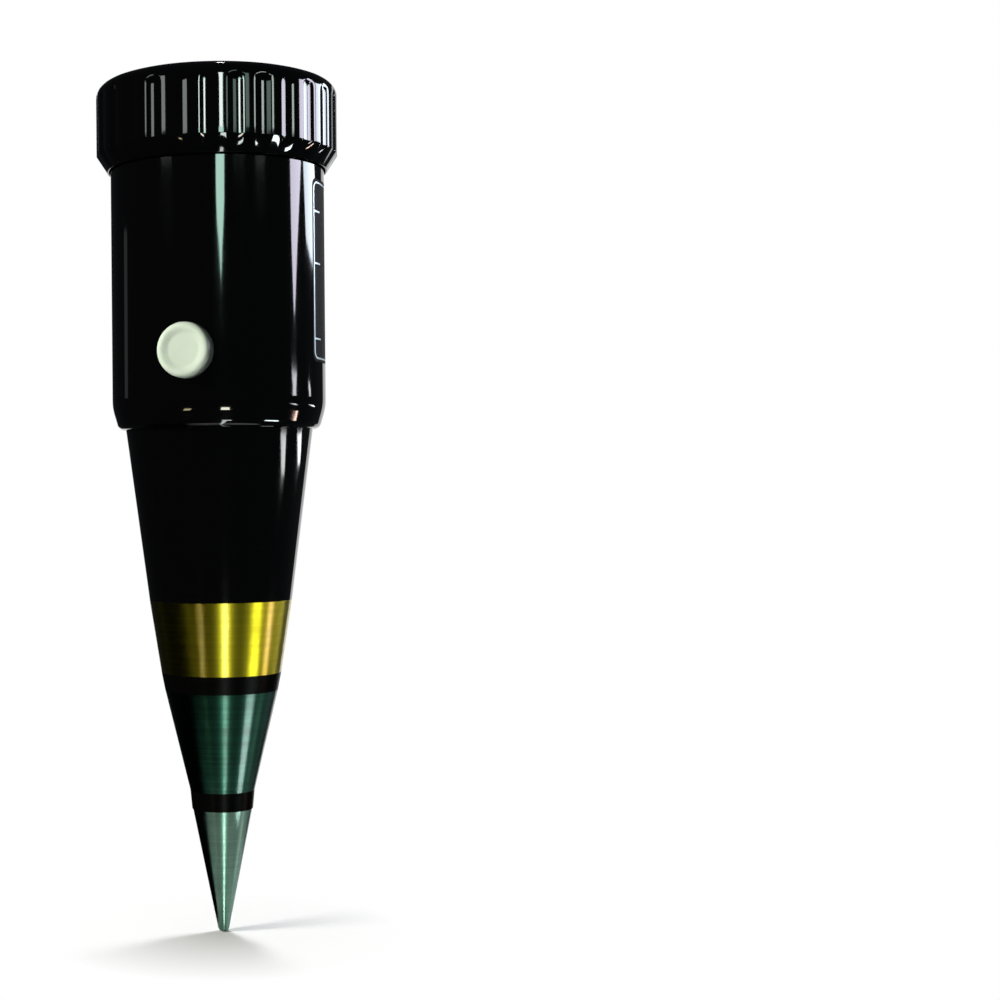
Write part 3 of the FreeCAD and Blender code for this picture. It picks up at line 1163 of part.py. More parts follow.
# ---------------------------------------------------------------- dial
def make_dial():
    y_edge = pivot_y + DIAL_EDGE
    plate = rod(dial_radius, z_dial_bottom, z_dial).common(
        block(-dial_radius, dial_radius, y_edge, dial_radius, z_dial_bottom, z_dial))
    cuts = [rod(DIAL_NOTCH_RADIUS, z_dial_bottom, z_dial, 0, pivot_y)]
    rivets = []
    for side in (-1, 1):
        cuts.append(rod(RIVET_RADIUS + SCREW_FIT, z_dial_bottom, z_dial, side * DIAL_POST_X, DIAL_POST_Y))
        shank = rod(RIVET_RADIUS, z_frame_top, z_dial, side * DIAL_POST_X, DIAL_POST_Y)
        head = rod(RIVET_HEAD, z_dial, z_dial + RIVET_HEAD_HEIGHT, side * DIAL_POST_X, DIAL_POST_Y)
        rivets.append(fused([shank, head]))
    save("dial_plate", plate.cut(Part.makeCompound(cuts)))
    save("dial_rivets", rivets)
    save("dial_ring", turning([
        (window_radius - DIAL_RING_SLOPE, z_dial), (frame_radius, z_dial),
        (frame_radius, z_rim), (window_radius, z_rim),
    ]))

    y_cover = pivot_y + COVER_EDGE
    z_top = z_cover + COVER_THICKNESS
    low_half = block(-skirt_outer, skirt_outer, -skirt_outer, y_cover, z_frame_top, z_rim)
    sheet = rod(skirt_outer, z_cover, z_top).common(low_half)
    y_bulge = pivot_y + COVER_BULGE_CENTRE
    bulge = rod(COVER_BULGE_RADIUS, z_cover, z_top, 0, y_bulge).common(rod(skirt_outer, z_cover, z_top))
    skirt = ring(skirt_outer, skirt_inner, z_frame_top, z_top)
    skirt = skirt.common(block(-skirt_outer, skirt_outer, -skirt_outer, y_edge - CLEAR, z_frame_top, z_rim))
    ribs = []
    rib_count = int((y_cover + skirt_outer - COVER_RIB_WIDTH) / COVER_RIB_PITCH)
    for index in range(rib_count):
        y = y_cover - (index + 0.5) * COVER_RIB_PITCH
        half = math.sqrt(skirt_outer ** 2 - (abs(y) + COVER_RIB_WIDTH) ** 2)
        ribs.append(block(-half, half, y - COVER_RIB_WIDTH / 2, y + COVER_RIB_WIDTH / 2,
                          z_top, z_top + COVER_RIB_HEIGHT))
    save("dial_cover", fused([sheet, bulge, skirt] + ribs))

    x = bridge_leg_x * METER_LEAD_SIDE
    z_kink = (z_board_top + z_bracket_top) / 2
    half_rise = METER_LEAD_KINK_RISE / 2
    bracket_lead = lead([
        (x, pivot_y + METER_LEAD_KINK, z_board_top), (x, pivot_y + METER_LEAD_KINK, z_kink - half_rise),
        (x, pivot_y, z_kink + half_rise), (x, pivot_y, z_bracket_top - BRACKET_THICKNESS),
    ], METER_LEAD_BEND)
    z_turn = z_frame_top + METER_LEAD_RISE
    bridge_lead = lead([
        (-bridge_leg_x, y_lead_hole, z_board_top), (-bridge_leg_x, y_lead_hole, z_turn),
        (-bridge_leg_x, pivot_y + BRIDGE_HALF_WIDTH, z_turn)], BRIDGE_LEAD_BEND)
    save("meter_leads", [bracket_lead, bridge_lead])


os.makedirs("parts", exist_ok=True)
make_probe()
make_barrel()
make_head()
make_button_and_switch()
make_electronics()
make_movement()
make_dial()
print(len(os.listdir("parts")), "sub-parts written")
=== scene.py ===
import json
import math

import bpy
import numpy as np
from mathutils import Matrix, Vector


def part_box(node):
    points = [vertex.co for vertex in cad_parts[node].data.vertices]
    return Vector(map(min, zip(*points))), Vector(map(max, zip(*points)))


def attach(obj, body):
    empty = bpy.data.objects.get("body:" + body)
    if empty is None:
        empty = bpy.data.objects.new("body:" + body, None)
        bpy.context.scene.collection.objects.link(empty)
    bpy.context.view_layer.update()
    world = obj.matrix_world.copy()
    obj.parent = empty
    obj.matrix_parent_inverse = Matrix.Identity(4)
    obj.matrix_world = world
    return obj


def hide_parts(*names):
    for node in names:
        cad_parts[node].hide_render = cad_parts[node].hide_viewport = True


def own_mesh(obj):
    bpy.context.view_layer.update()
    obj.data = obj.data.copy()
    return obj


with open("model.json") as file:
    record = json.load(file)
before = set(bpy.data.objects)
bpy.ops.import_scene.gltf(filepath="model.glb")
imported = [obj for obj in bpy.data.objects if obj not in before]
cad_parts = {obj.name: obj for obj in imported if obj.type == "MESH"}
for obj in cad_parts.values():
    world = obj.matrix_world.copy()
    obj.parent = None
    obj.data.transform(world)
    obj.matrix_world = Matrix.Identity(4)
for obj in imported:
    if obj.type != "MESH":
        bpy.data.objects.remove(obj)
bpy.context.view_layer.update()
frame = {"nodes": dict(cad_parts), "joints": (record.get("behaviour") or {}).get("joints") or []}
nodes = frame["nodes"]
joints = {joint["name"]: joint for joint in frame["joints"]}
scene = bpy.context.scene
MM = 0.001

# ---------------------------------------- studio
# The tip stands on a small round floor of pale card.  A white wall hangs far behind, and black
# velvet all round, a little lighter on the right, keeps the black mouldings black.
CAMERA_AZIMUTH = 17.0
CAMERA_DISTANCE = 0.348
CAMERA_HEIGHT = 0.0867
CAMERA_ROLL = -0.5
FLOOR_RADIUS = 0.045
# the share of its radius over which the floor fades into the white behind it
FLOOR_FADE = 0.8
WALL_DISTANCE = 5.0
VELVET_RADIUS = 8.0
VELVET_LIT_AZIMUTH = 100.0


def toward(azimuth, distance, height):
    """A place round the meter: azimuth 0 is in front of the button and 90 is at +X."""
    angle = math.radians(azimuth)
    return distance * math.sin(angle), -distance * math.cos(angle), height


def linear(code):
    """The linear colour of an sRGB hex code: each channel c becomes ((c + 0.055) / 1.055) ^ 2.4,
    or c / 12.92 where it is dark."""
    channels = [int(code[i:i + 2], 16) / 255 for i in (1, 3, 5)]
    return [c / 12.92 if c <= 0.04045 else ((c + 0.055) / 1.055) ** 2.4 for c in channels] + [1.0]


def add(tree, kind, inputs=None, **settings):
    """Adds a node with its settings.  An input given as a socket is linked, and a value is set."""
    made = tree.nodes.new("ShaderNode" + kind)
    for name, value in settings.items():
        setattr(made, name, value)
    for key, value in (inputs or {}).items():
        if isinstance(value, bpy.types.NodeSocket):
            tree.links.new(value, made.inputs[key])
        else:
            made.inputs[key].default_value = value
    return made


def empty_material(name):
    """A new material without nodes, and its node tree."""
    material = bpy.data.materials.new(name)
    material.use_nodes = True
    material.node_tree.nodes.clear()
    return material, material.node_tree


def emitter(name, code, strength):
    """A material that only shines."""
    material, tree = empty_material(name)
    glow = add(tree, "Emission", {"Color": linear(code), "Strength": strength})
    add(tree, "OutputMaterial", {"Surface": glow.outputs[0]})
    return material


def build(name, corners, faces, material):
    """One object from its corners, in metres, and its faces."""
    mesh = bpy.data.meshes.new(name)
    mesh.from_pydata(corners, [], faces)
    mesh.materials.append(material)
    made = bpy.data.objects.new(name, mesh)
    scene.collection.objects.link(made)
    return made


def card(name, corners, material, camera=False):
    """A stage card through its corners, in metres.  Unless the camera sees it, only gloss does."""
    made = build(name, corners, [tuple(range(len(corners)))], material)
    made.visible_camera = camera
    made.visible_transmission = camera
    made.visible_diffuse = camera
    made.visible_shadow = False


def lamp(name, place, aim, width, length, watts, code):
    """A soft rectangular lamp that points from its place at a point.  It lights without being
    seen or mirrored, and the cards below are what the gloss and the metal mirror."""
    data = bpy.data.lights.new(name, "AREA")
    data.shape = "RECTANGLE"
    data.size = width
    data.size_y = length
    data.energy = watts
    data.color = linear(code)[:3]
    made = bpy.data.objects.new(name, data)
    scene.collection.objects.link(made)
    made.visible_camera = False
    made.visible_transmission = False
    made.visible_glossy = False
    made.location = place
    heading = (Vector(aim) - made.location).normalized()
    made.rotation_euler = heading.to_track_quat("-Z", "Y").to_euler()


scene.view_settings.view_transform = "Standard"
camera_data = bpy.data.cameras.new("camera")
camera_data.lens = 63.0
camera_data.sensor_width = 36.0
camera_data.shift_x = 0.28
camera_data.shift_y = -0.005
camera_data.clip_start = 0.01
camera_data.clip_end = 50.0
camera = bpy.data.objects.new("camera", camera_data)
scene.collection.objects.link(camera)
scene.camera = camera
camera.matrix_world = (
    Matrix.Translation(toward(CAMERA_AZIMUTH, CAMERA_DISTANCE, CAMERA_HEIGHT))
    @ Matrix.Rotation(math.radians(CAMERA_AZIMUTH), 4, "Z")
    @ Matrix.Rotation(math.radians(90), 4, "X")
    @ Matrix.Rotation(math.radians(CAMERA_ROLL), 4, "Z")
)


def seen_rays(tree):
    """A socket that is 1 for what the camera sees directly, in a reflection or through glass."""
    path = add(tree, "LightPath").outputs
    sharp = add(tree, "Math", {
        0: path["Is Glossy Ray"], 1: path["Is Transmission Ray"]}, operation="MAXIMUM")
    seen = add(tree, "Math", {
        0: path["Is Camera Ray"], 1: sharp.outputs[0]}, operation="MAXIMUM")
    return seen.outputs[0]


world = bpy.data.worlds.new("room")
scene.world = world
world.use_nodes = True
tree = world.node_tree
tree.nodes.clear()
tone = add(tree, "Mix", {
    "Factor": seen_rays(tree), "A": linear("#3A3E40"), "B": linear("#FFFFFF")}, data_type="RGBA")
room = add(tree, "Background", {"Color": tone.outputs["Result"], "Strength": 1.0})
add(tree, "OutputWorld", {"Surface": room.outputs[0]})

velvet, tree = empty_material("black_velvet")
place = add(tree, "TexCoord").outputs["Object"]
lit_side = add(tree, "VectorMath", {
    0: place, 1: toward(VELVET_LIT_AZIMUTH, 1, 0)}, operation="DOT_PRODUCT")
share = add(tree, "MapRange", {
    "Value": lit_side.outputs["Value"], "From Min": -VELVET_RADIUS, "From Max": VELVET_RADIUS})
tone = add(tree, "Mix", {
    "Factor": share.outputs[0], "A": linear("#101213"), "B": linear("#35393B")}, data_type="RGBA")
glow = add(tree, "Emission", {"Color": tone.outputs["Result"], "Strength": 1.0})
add(tree, "OutputMaterial", {"Surface": glow.outputs[0]})
turn = np.radians(np.arange(0, 360, 15))[None, :]
lift = np.radians(np.linspace(-89.9, 89.9, 13))[:, None]
tent_points = VELVET_RADIUS * np.stack([
    np.cos(lift) * np.cos(turn), np.cos(lift) * np.sin(turn), np.sin(lift) + 0 * turn], -1)
index = np.arange(lift.size * turn.size).reshape(lift.size, turn.size)
after = np.roll(index, -1, axis=1)
tent_faces = np.stack([index[:-1], after[:-1], after[1:], index[1:]], -1).reshape(-1, 4)
tent = build("velvet_tent", tent_points.reshape(-1, 3).tolist(), tent_faces.tolist(), velvet)
tent.visible_camera = False
tent.visible_shadow = False

paper, tree = empty_material("pale_card")
place = add(tree, "TexCoord").outputs["Object"]
reach = add(tree, "VectorMath", {0: place}, operation="LENGTH")
fade = add(tree, "MapRange", {
    "Value": reach.outputs["Value"], "From Min": 0.0, "From Max": FLOOR_FADE * FLOOR_RADIUS})
white = add(tree, "Math", {0: fade.outputs[0], 1: seen_rays(tree)}, operation="MULTIPLY")
card_face = add(tree, "BsdfDiffuse", {"Color": linear("#F2F3F3")})
glow = add(tree, "Emission", {"Color": linear("#FFFFFF"), "Strength": 1.0})
mixed = add(tree, "MixShader", {0: white.outputs[0], 1: card_face.outputs[0], 2: glow.outputs[0]})
add(tree, "OutputMaterial", {"Surface": mixed.outputs[0]})
rim = np.radians(np.arange(0, 360, 3))
floor_points = np.column_stack([np.cos(rim), np.sin(rim), 0 * rim]) * FLOOR_RADIUS
floor = build("floor", floor_points.tolist(), [tuple(range(len(rim)))], paper)

# the wall's corners, in degrees across and up from straight behind the meter
wall_edges = [(-12, -19), (30, -19), (30, 21), (-12, 21)]
wall_corners = [
    toward(CAMERA_AZIMUTH + 180 - across, WALL_DISTANCE / math.cos(math.radians(across)),
           CAMERA_HEIGHT + WALL_DISTANCE * math.tan(math.radians(up)))
    for across, up in wall_edges
]
card("wall", wall_corners, emitter("white_wall", "#FFFFFF", 1.0), camera=True)

lamp("dial_lamp", toward(180, 0.36, 1.2), (0, 0, 0.16), 0.1, 0.1, 9.8, "#FCFCFF")
# the front lamp and the fill stand low, so that they light the button and leave the dial alone
lamp("front_lamp", toward(-52, 0.5, 0.36), (0, 0, 0.10), 0.12, 0.12, 2.8, "#FFFDF4")
lamp("fill_lamp", toward(-30, 0.6, 0.03), (0, 0, 0.11), 0.35, 0.3, 1.9, "#FFFEF4")

# Each card is a name, colour, strength and distance, then the azimuth and height of its corners.
CARDS = [
    ("head_card", "#E6F2ED", 30.0, 1.0, [
        (17.5, 0.352), (23.5, 0.352), (23.5, 0.45), (17.5, 0.45)]),
    ("head_green_card", "#B9D8CB", 5.0, 1.0, [
        (34.0, 0.352), (46.0, 0.352), (46.0, 0.45), (34.0, 0.45)]),
    ("middle_card", "#B4DFCF", 24.0, 1.0, [
        (15.4, 0.351), (24.6, 0.351), (24.0, 0.3068), (22.0, 0.2769), (20.3, 0.2508),
        (19.5, 0.2508), (18.4, 0.2769), (16.4, 0.3068)]),
    ("rim_card", "#FFFFFF", 70.0, 0.36, [
        (189.5, 1.13), (196.5, 1.13), (196.5, 1.27), (189.5, 1.27)]),
    ("head_left_card", "#E4EAE6", 6.0, 1.0, [
        (-44.0, 0.346), (-32.0, 0.346), (-32.0, 0.43), (-44.0, 0.43)]),
    ("head_side_card", "#D5E2DC", 16.0, 1.0, [
        (58.0, 0.352), (68.0, 0.352), (68.0, 0.43), (58.0, 0.43)]),
    ("right_card", "#E3DFF2", 17.0, 0.6, [
        (99.5, 0.33), (116.4, 0.33), (116.4, 0.264), (109.6, 0.2201), (104.8, 0.1823),
        (103.3, 0.1822), (100.6, 0.2198), (99.5, 0.2633)]),
    ("far_right_card", "#DDE6F2", 15.0, 0.6, [
        (119.8, 0.33), (142.0, 0.33), (142.0, 0.2653), (147.1, 0.2217), (148.7, 0.1952),
        (143.3, 0.195), (124.1, 0.2206), (119.8, 0.2642)]),
    ("low_right_card", "#E8ECF4", 16.0, 0.6, [
        (99.0, 0.1518), (107.0, 0.1508), (105.3, 0.1414), (105.8, 0.133), (98.5, 0.1324),
        (101.6, 0.1413)]),
    ("low_far_right_card", "#E8ECF4", 12.0, 0.6, [
        (125.5, 0.1458), (129.1, 0.1447), (131.1, 0.1387), (128.5, 0.1367)]),
    ("cone_card", "#F2F4F6", 16.0, 0.6, [
        (97.0, 0.0038), (106.0, 0.0124), (109.9, -0.0059), (104.4, -0.0114)]),
    ("far_cone_card", "#F2F4F6", 16.0, 0.6, [
        (127.1, 0.035), (137.6, 0.0476), (142.9, 0.0372), (137.3, 0.0304)]),
    ("left_card", "#E0E8E4", 0.3, 0.6, [
        (-100.9, 0.2273), (-94.6, 0.227), (-95.8, 0.132), (-102.1, 0.1321)]),
    ("brass_card", "#FFFBEA", 26.0, 1.0, [
        (19.5, -0.315), (28.0, -0.315), (29.0, -0.385), (18.5, -0.385)]),
    ("left_brass_card", "#FFEFB8", 11.0, 1.0, [
        (-21.0, -0.31), (-13.5, -0.315), (-17.0, -0.37), (-25.0, -0.365)]),
    ("right_brass_card", "#FFDCCC", 32.0, 1.0, [
        (101.0, -0.237), (110.0, -0.218), (116.0, -0.235), (107.0, -0.256)]),
    ("zinc_card", "#F2FFFA", 20.0, 1.0, [(21.0, -0.61), (30.0, -0.61), (33.0, -0.8), (20.0, -0.8)]),
    ("side_zinc_card", "#E6F2F4", 40.0, 1.0, [
        (74.0, -0.52), (92.0, -0.475), (96.0, -0.615), (76.0, -0.67)]),
]
for name, code, strength, distance, edges in CARDS:
    card(name, [toward(azimuth, distance, height) for azimuth, height in edges],
         emitter(name + "_glow", code, strength))

# These two lie just over the floor by the tip, as the azimuth and distance of their corners.
FLOOR_CARD_HEIGHT = 0.0004
FLOOR_CARDS = [
    ("floor_flag", "#000000", 0.0, [
        (-150, 0.004), (-120, 0.006), (-58, 0.004), (-58, 0.1), (-85, 0.12), (-115, 0.12),
        (-150, 0.1)]),
    ("tip_strip", "#F4FFFA", 14.0, [(19.0, 0.003), (27.0, 0.003), (25.5, 0.12), (20.5, 0.12)]),
]
for name, code, strength, edges in FLOOR_CARDS:
    card(name, [toward(azimuth, distance, FLOOR_CARD_HEIGHT) for azimuth, distance in edges],
         emitter(name + "_glow", code, strength))

# ---------------------------------------- gloss black mouldings
# Barrel, cone and fluted head are moulded in black ABS from polished tools.  It is glossy, with a
# very slight waviness, and handling has left a fine haze of dust.


def surface(name, code, roughness, metallic=0.0, ior=1.5, **more):
    """A new material: itself, its node tree, its shader, and the place on the object in metres."""
    material = bpy.data.materials.new(name)
    material.use_nodes = True
    tree = material.node_tree
    shader = tree.nodes["Principled BSDF"]
    values = {
        "Base Color": linear(code), "Roughness": roughness, "Metallic": metallic, "IOR": ior,
        **more}
    for key, value in values.items():
        shader.inputs[key].default_value = value
    return material, tree, shader, add(tree, "TexCoord").outputs["Object"]


def wear(material, *names):
    """Gives CAD nodes their finish."""
    for name in names:
        nodes[name].data.materials.clear()
        nodes[name].data.materials.append(material)


black_abs, tree, shader, place = surface("polished_black_abs", "#040405", 0.06, ior=1.46)
dust = add(tree, "TexNoise", {"Vector": place, "Scale": 1 / (0.35 * MM), "Detail": 4.0})
haze = add(tree, "TexNoise", {"Vector": place, "Scale": 1 / (9 * MM), "Detail": 3.0})
both = add(tree, "Math", {0: dust.outputs[0], 1: haze.outputs[0]}, operation="MULTIPLY")
rough = add(tree, "MapRange", {
    "Value": both.outputs[0], "From Min": 0.15, "From Max": 0.5, "To Min": 0.045, "To Max": 0.08})
tree.links.new(rough.outputs[0], shader.inputs["Roughness"])
wave = add(tree, "TexNoise", {"Vector": place, "Scale": 1 / (14 * MM), "Detail": 1.0})
relief = add(tree, "Bump", {"Height": wave.outputs[0], "Strength": 0.25, "Distance": 0.05 * MM})
tree.links.new(relief.outputs[0], shader.inputs["Normal"])
wear(black_abs, "body_shell", "cone_shell")

# ---------------------------------------- fluted head
# The head is one moulding: a fluted skirt that fingers can grip, a rounded top edge and a lip
# over the window.  Moulding leaves every edge slightly rounded, which catches a thin line of light.
FLUTE_COUNT = 28
FLUTE_WIDTH = 3.2
FLUTE_DEPTH = 0.35
FLUTE_TOP_MARGIN = 2.2
# only the part of the profile this near to the outside is cut by the flutes
FLUTED_BAND = 3 * FLUTE_DEPTH
LAND_EDGE = 0.16
TOP_EDGE = 2.7
SMALL_EDGE = 0.25
EDGE_STEPS = 7
SAMPLES_PER_FLUTE = 28
WALL_ROWS = 16
BODY_GAP = 0.3
FOOT_FLAT = 0.3
FOOT_CHAMFER = 3.2
LIP = 2.0
LIP_CHAMFER = 1.0


def points_of(name):
    """The vertices of a CAD node as an array, in millimetres."""
    mesh = nodes[name].data
    flat = np.empty(len(mesh.vertices) * 3)
    mesh.vertices.foreach_get("co", flat)
    return flat.reshape(-1, 3) / MM


def radii_of(name):
    """The least and greatest distance of a CAD node's vertices from the meter's axis."""
    across = np.hypot(*points_of(name)[:, :2].T)
    return across.min(), across.max()


def outline(corners, steps):
    """A closed outline through (x, y, edge radius) corners, each rounded by a tangent arc.  The arc
    turns evenly from the first tangent point's direction to the last one's, about its centre."""
    made = []
    places = np.array([corner[:2] for corner in corners], float)
    for index, (x, y, radius) in enumerate(corners):
        back = places[index - 1] - (x, y)
        ahead = places[(index + 1) % len(places)] - (x, y)
        back = back / np.hypot(*back)
        ahead = ahead / np.hypot(*ahead)
        half = math.acos(np.clip(back @ ahead, -1, 1)) / 2
        middle = (back + ahead) / np.hypot(*(back + ahead))
        centre = (x, y) + middle * radius / math.sin(half)
        first = back * radius / math.tan(half) + (x, y) - centre
        last = ahead * radius / math.tan(half) + (x, y) - centre
        share = np.linspace(0, 1, steps)[:, None]
        swing = math.pi - 2 * half
        arc = (np.sin((1 - share) * swing) * first + np.sin(share * swing) * last) / math.sin(swing)
        made.append(centre + arc)
    return np.concatenate(made)


def turned_shell(rings):
    """Corners and faces of a closed shell from rings[angle, point] = (x, y, z), joined round both
    ways."""
    columns, rows = rings.shape[:2]
    index = np.arange(columns * rows).reshape(columns, rows)
    after = np.roll(index, -1, axis=0)
    faces = np.stack([index, after, np.roll(after, -1, 1), np.roll(index, -1, 1)], -1)
    return rings.reshape(-1, 3), faces.reshape(-1, 4).tolist()


def bent_bar(low_radius, high_radius, low, high, start, end, centre=(0.0, 0.0), step=2.0):
    """Corners and faces of a bar of rectangular section, bent round an upright line from one
    angle to another, in degrees from +X."""
    count = int((end - start) / step) + 2
    turn = np.radians(np.linspace(start, end, count))[:, None]
    radius = np.array([low_radius, high_radius, high_radius, low_radius])
    height = np.broadcast_to([low, low, high, high], (count, 4))
    x = centre[0] + radius * np.cos(turn)
    y = centre[1] + radius * np.sin(turn)
    corners = np.stack([x, y, height], -1).reshape(-1, 3)
    index = np.arange(count * 4).reshape(count, 4)
    across = np.roll(index, -1, axis=1)
    sides = np.stack([index[:-1], index[1:], across[1:], across[:-1]], -1).reshape(-1, 4)
    ends = [index[0].tolist(), index[-1][::-1].tolist()]
    return corners, sides.tolist() + ends


def piece(name, parts, material, body, smooth=False):
    """One named object from (corners, faces) parts in millimetres, riding on a body."""
    corners = []
    faces = []
    start = 0
    for part_corners, part_faces in parts:
        corners.append(np.asarray(part_corners, float))
        faces += [[start + corner for corner in face] for face in part_faces]
        start += len(part_corners)
    made = build(name, (np.concatenate(corners) * MM).tolist(), faces, material)
    if smooth:
        made.data.shade_smooth()
    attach(made, body)
    return made


def fluted(profile, outside, top):
    """Rings[angle, point] of a shell turned round Z from (radius, height) points, with flutes cut
    in its wall.  A flute is part of a cylinder of radius R, closed above by part of a ball, so it
    is as deep as the root of (R squared - the distance from its middle squared - the height past
    its end squared), less (R - its full depth).  Two soft joins round the edges of the lands: the
    larger of a and b is (a + b + the root of ((a - b) squared + edge squared)) / 2, and the
    smaller has a minus before its root."""
    count = FLUTE_COUNT * SAMPLES_PER_FLUTE
    turn = np.arange(count) * 2 * np.pi / count
    pitch = 2 * np.pi / FLUTE_COUNT
    from_middle = np.abs((turn + pitch / 2) % pitch - pitch / 2)[:, None] * outside
    flute_end = top - FLUTE_TOP_MARGIN - FLUTE_WIDTH / 2
    past_end = np.clip(profile[None, :, 1] - flute_end, 0, None)
    flute_radius = FLUTE_WIDTH ** 2 / (8 * FLUTE_DEPTH) + FLUTE_DEPTH / 2
    bowl = np.sqrt(np.clip(flute_radius ** 2 - from_middle ** 2 - past_end ** 2, 0, None))
    hollow = bowl - (flute_radius - FLUTE_DEPTH)
    cut = (hollow + np.sqrt(hollow ** 2 + LAND_EDGE ** 2)) / 2
    limit = outside - cut
    across = np.broadcast_to(profile[None, :, 0], limit.shape)
    radius = (across + limit - np.sqrt((across - limit) ** 2 + LAND_EDGE ** 2)) / 2
    radius = np.where(across > outside - FLUTED_BAND, radius, across)
    return np.stack([
        radius * np.cos(turn)[:, None], radius * np.sin(turn)[:, None],
        np.broadcast_to(profile[:, 1], radius.shape)], -1)


head_low, head_high = [corner.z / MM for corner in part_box("bezel_cap")]
window_radius, head_radius = radii_of("bezel_cap")
head_bore = radii_of("body_shell")[1] + BODY_GAP
head_profile = outline([
    (head_bore, head_low, SMALL_EDGE / 2), (head_bore + FOOT_FLAT, head_low, SMALL_EDGE / 2),
    (head_radius, head_low + FOOT_CHAMFER, SMALL_EDGE), (head_radius, head_high, TOP_EDGE),
    (window_radius + LIP_CHAMFER, head_high, SMALL_EDGE),
    (window_radius, head_high - LIP_CHAMFER, SMALL_EDGE),
    (window_radius, head_high - LIP, SMALL_EDGE / 2), (head_bore, head_high - LIP, SMALL_EDGE / 2),
], EDGE_STEPS)
# rows are added up the fluted wall, above the arcs of its three lowest corners, and they are
# closer together towards the flutes' round ends
wall_start = 3 * EDGE_STEPS
last_foot, first_top = head_profile[wall_start - 1], head_profile[wall_start]
climb = 1 - (1 - np.linspace(0, 1, WALL_ROWS)[1:-1, None]) ** 2
wall_rows = last_foot + climb * (first_top - last_foot)
head_profile = np.insert(head_profile, wall_start, wall_rows, axis=0)
head_rings = fluted(head_profile, head_radius, head_high)
head = piece("fluted_head", [turned_shell(head_rings)], black_abs, "cap", smooth=True)
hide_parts("bezel_cap")

# ---------------------------------------- label plate
# A thin satin black plate, bent round the back of the barrel in its own recess.  A fine silver
# line is printed round its edge, with short cross lines at the sides.
TRIM_INSET = 0.5
TRIM_WIDTH = 0.32
TRIM_THICKNESS = 0.02
TRIM_CORNER = 1.6
TRIM_CORNER_STEPS = 9
TRIM_STEP = 1.0
MARK_HEIGHTS = (141.5, 131.4, 116.8)
MARK_LENGTH = 3.2

# the film's faint texture leaves it satin beside the gloss of the case
label_film, tree, shader, place = surface(
    "satin_black_film", "#050506", 0.5, **{"Specular IOR Level": 0.04})
fibre = add(tree, "TexNoise", {"Vector": place, "Scale": 1 / (0.25 * MM), "Detail": 3.0})
rough = add(tree, "MapRange", {
    "Value": fibre.outputs[0], "From Min": 0.3, "From Max": 0.7, "To Min": 0.42, "To Max": 0.58})
tree.links.new(rough.outputs[0], shader.inputs["Roughness"])
relief = add(tree, "Bump", {"Height": fibre.outputs[0], "Strength": 0.2, "Distance": 0.01 * MM})
tree.links.new(relief.outputs[0], shader.inputs["Normal"])
wear(label_film, "label_plate")

# metallic ink glints unevenly, from its flakes
silver_print, tree, shader, place = surface("silver_screen_print", "#C9D4D6", 0.35, metallic=0.6)
speckle = add(tree, "TexNoise", {"Vector": place, "Scale": 1 / (0.15 * MM), "Detail": 2.0})
rough = add(tree, "MapRange", {"Value": speckle.outputs[0], "To Min": 0.25, "To Max": 0.5})
tree.links.new(rough.outputs[0], shader.inputs["Roughness"])

label_radius = radii_of("label_plate")[1]
label_low, label_high = [corner.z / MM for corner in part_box("label_plate")]
label_points = points_of("label_plate")
half_arc = np.degrees(np.abs(np.arctan2(label_points[:, 0], label_points[:, 1]))).max()
half_width = math.radians(half_arc) * label_radius


def on_barrel(flat, radius):
    """Flat (across, height) points wrapped round the back of the barrel: the angle from +Y is the
    distance across over the radius."""
    angle = flat[:, 0] / label_radius
    return np.column_stack([radius * np.sin(angle), radius * np.cos(angle), flat[:, 1]])


def fine(loop, gap):
    """The loop with points added along its long runs, no further apart than the gap."""
    runs = []
    for start, end in zip(loop, np.roll(loop, -1, axis=0)):
        count = int(np.hypot(*(end - start)) / gap) + 1
        runs.append(start + (end - start) * np.arange(count)[:, None] / count)
    return np.concatenate(runs)


trim_half = half_width - TRIM_INSET
trim_low, trim_high = label_low + TRIM_INSET, label_high - TRIM_INSET
outer = fine(outline([
    (-trim_half, trim_low, TRIM_CORNER), (trim_half, trim_low, TRIM_CORNER),
    (trim_half, trim_high, TRIM_CORNER), (-trim_half, trim_high, TRIM_CORNER),
], TRIM_CORNER_STEPS), TRIM_STEP)
# the line's inner edge lies one width in from its outer edge, at right angles to it
centre = np.array([0, (label_low + label_high) / 2])
core = np.array([trim_half, (label_high - label_low) / 2 - TRIM_INSET]) - TRIM_CORNER
nearest = np.clip(outer - centre, -core, core)
away = outer - centre - nearest
away = away / np.hypot(*away.T)[:, None]
inner = outer - away * TRIM_WIDTH
top = label_radius + TRIM_THICKNESS
trim_rings = np.stack([
    on_barrel(inner, label_radius), on_barrel(inner, top), on_barrel(outer, top),
    on_barrel(outer, label_radius)], 1)
reach = math.degrees(trim_half / label_radius)
span = math.degrees(MARK_LENGTH / label_radius)
marks = []
for height in MARK_HEIGHTS:
    for side in (-1, 1):
        first, last = sorted((90 + side * reach, 90 + side * (reach - span)))
        marks.append(bent_bar(
            label_radius, top, height - TRIM_WIDTH / 2, height + TRIM_WIDTH / 2, first, last))
piece("label_trim", [turned_shell(trim_rings)] + marks, silver_print, "root")

# ---------------------------------------- push button
# The button is moulded in cream ABS with a satin face: a soft edge, a shallow dish for the finger,
# and a little light passes into the plastic, so that its edge looks warm.
BUTTON_RADIUS = 5.25
BUTTON_EDGE = 0.9
DISH_RADIUS = 4.3
DISH_SLOPE = 1.5
DISH_DEPTH = 0.35
FLANGE_THICKNESS = 0.8
BUTTON_STEPS = 96
BUTTON_EDGE_POINTS = 12
DISH_POINTS = 15

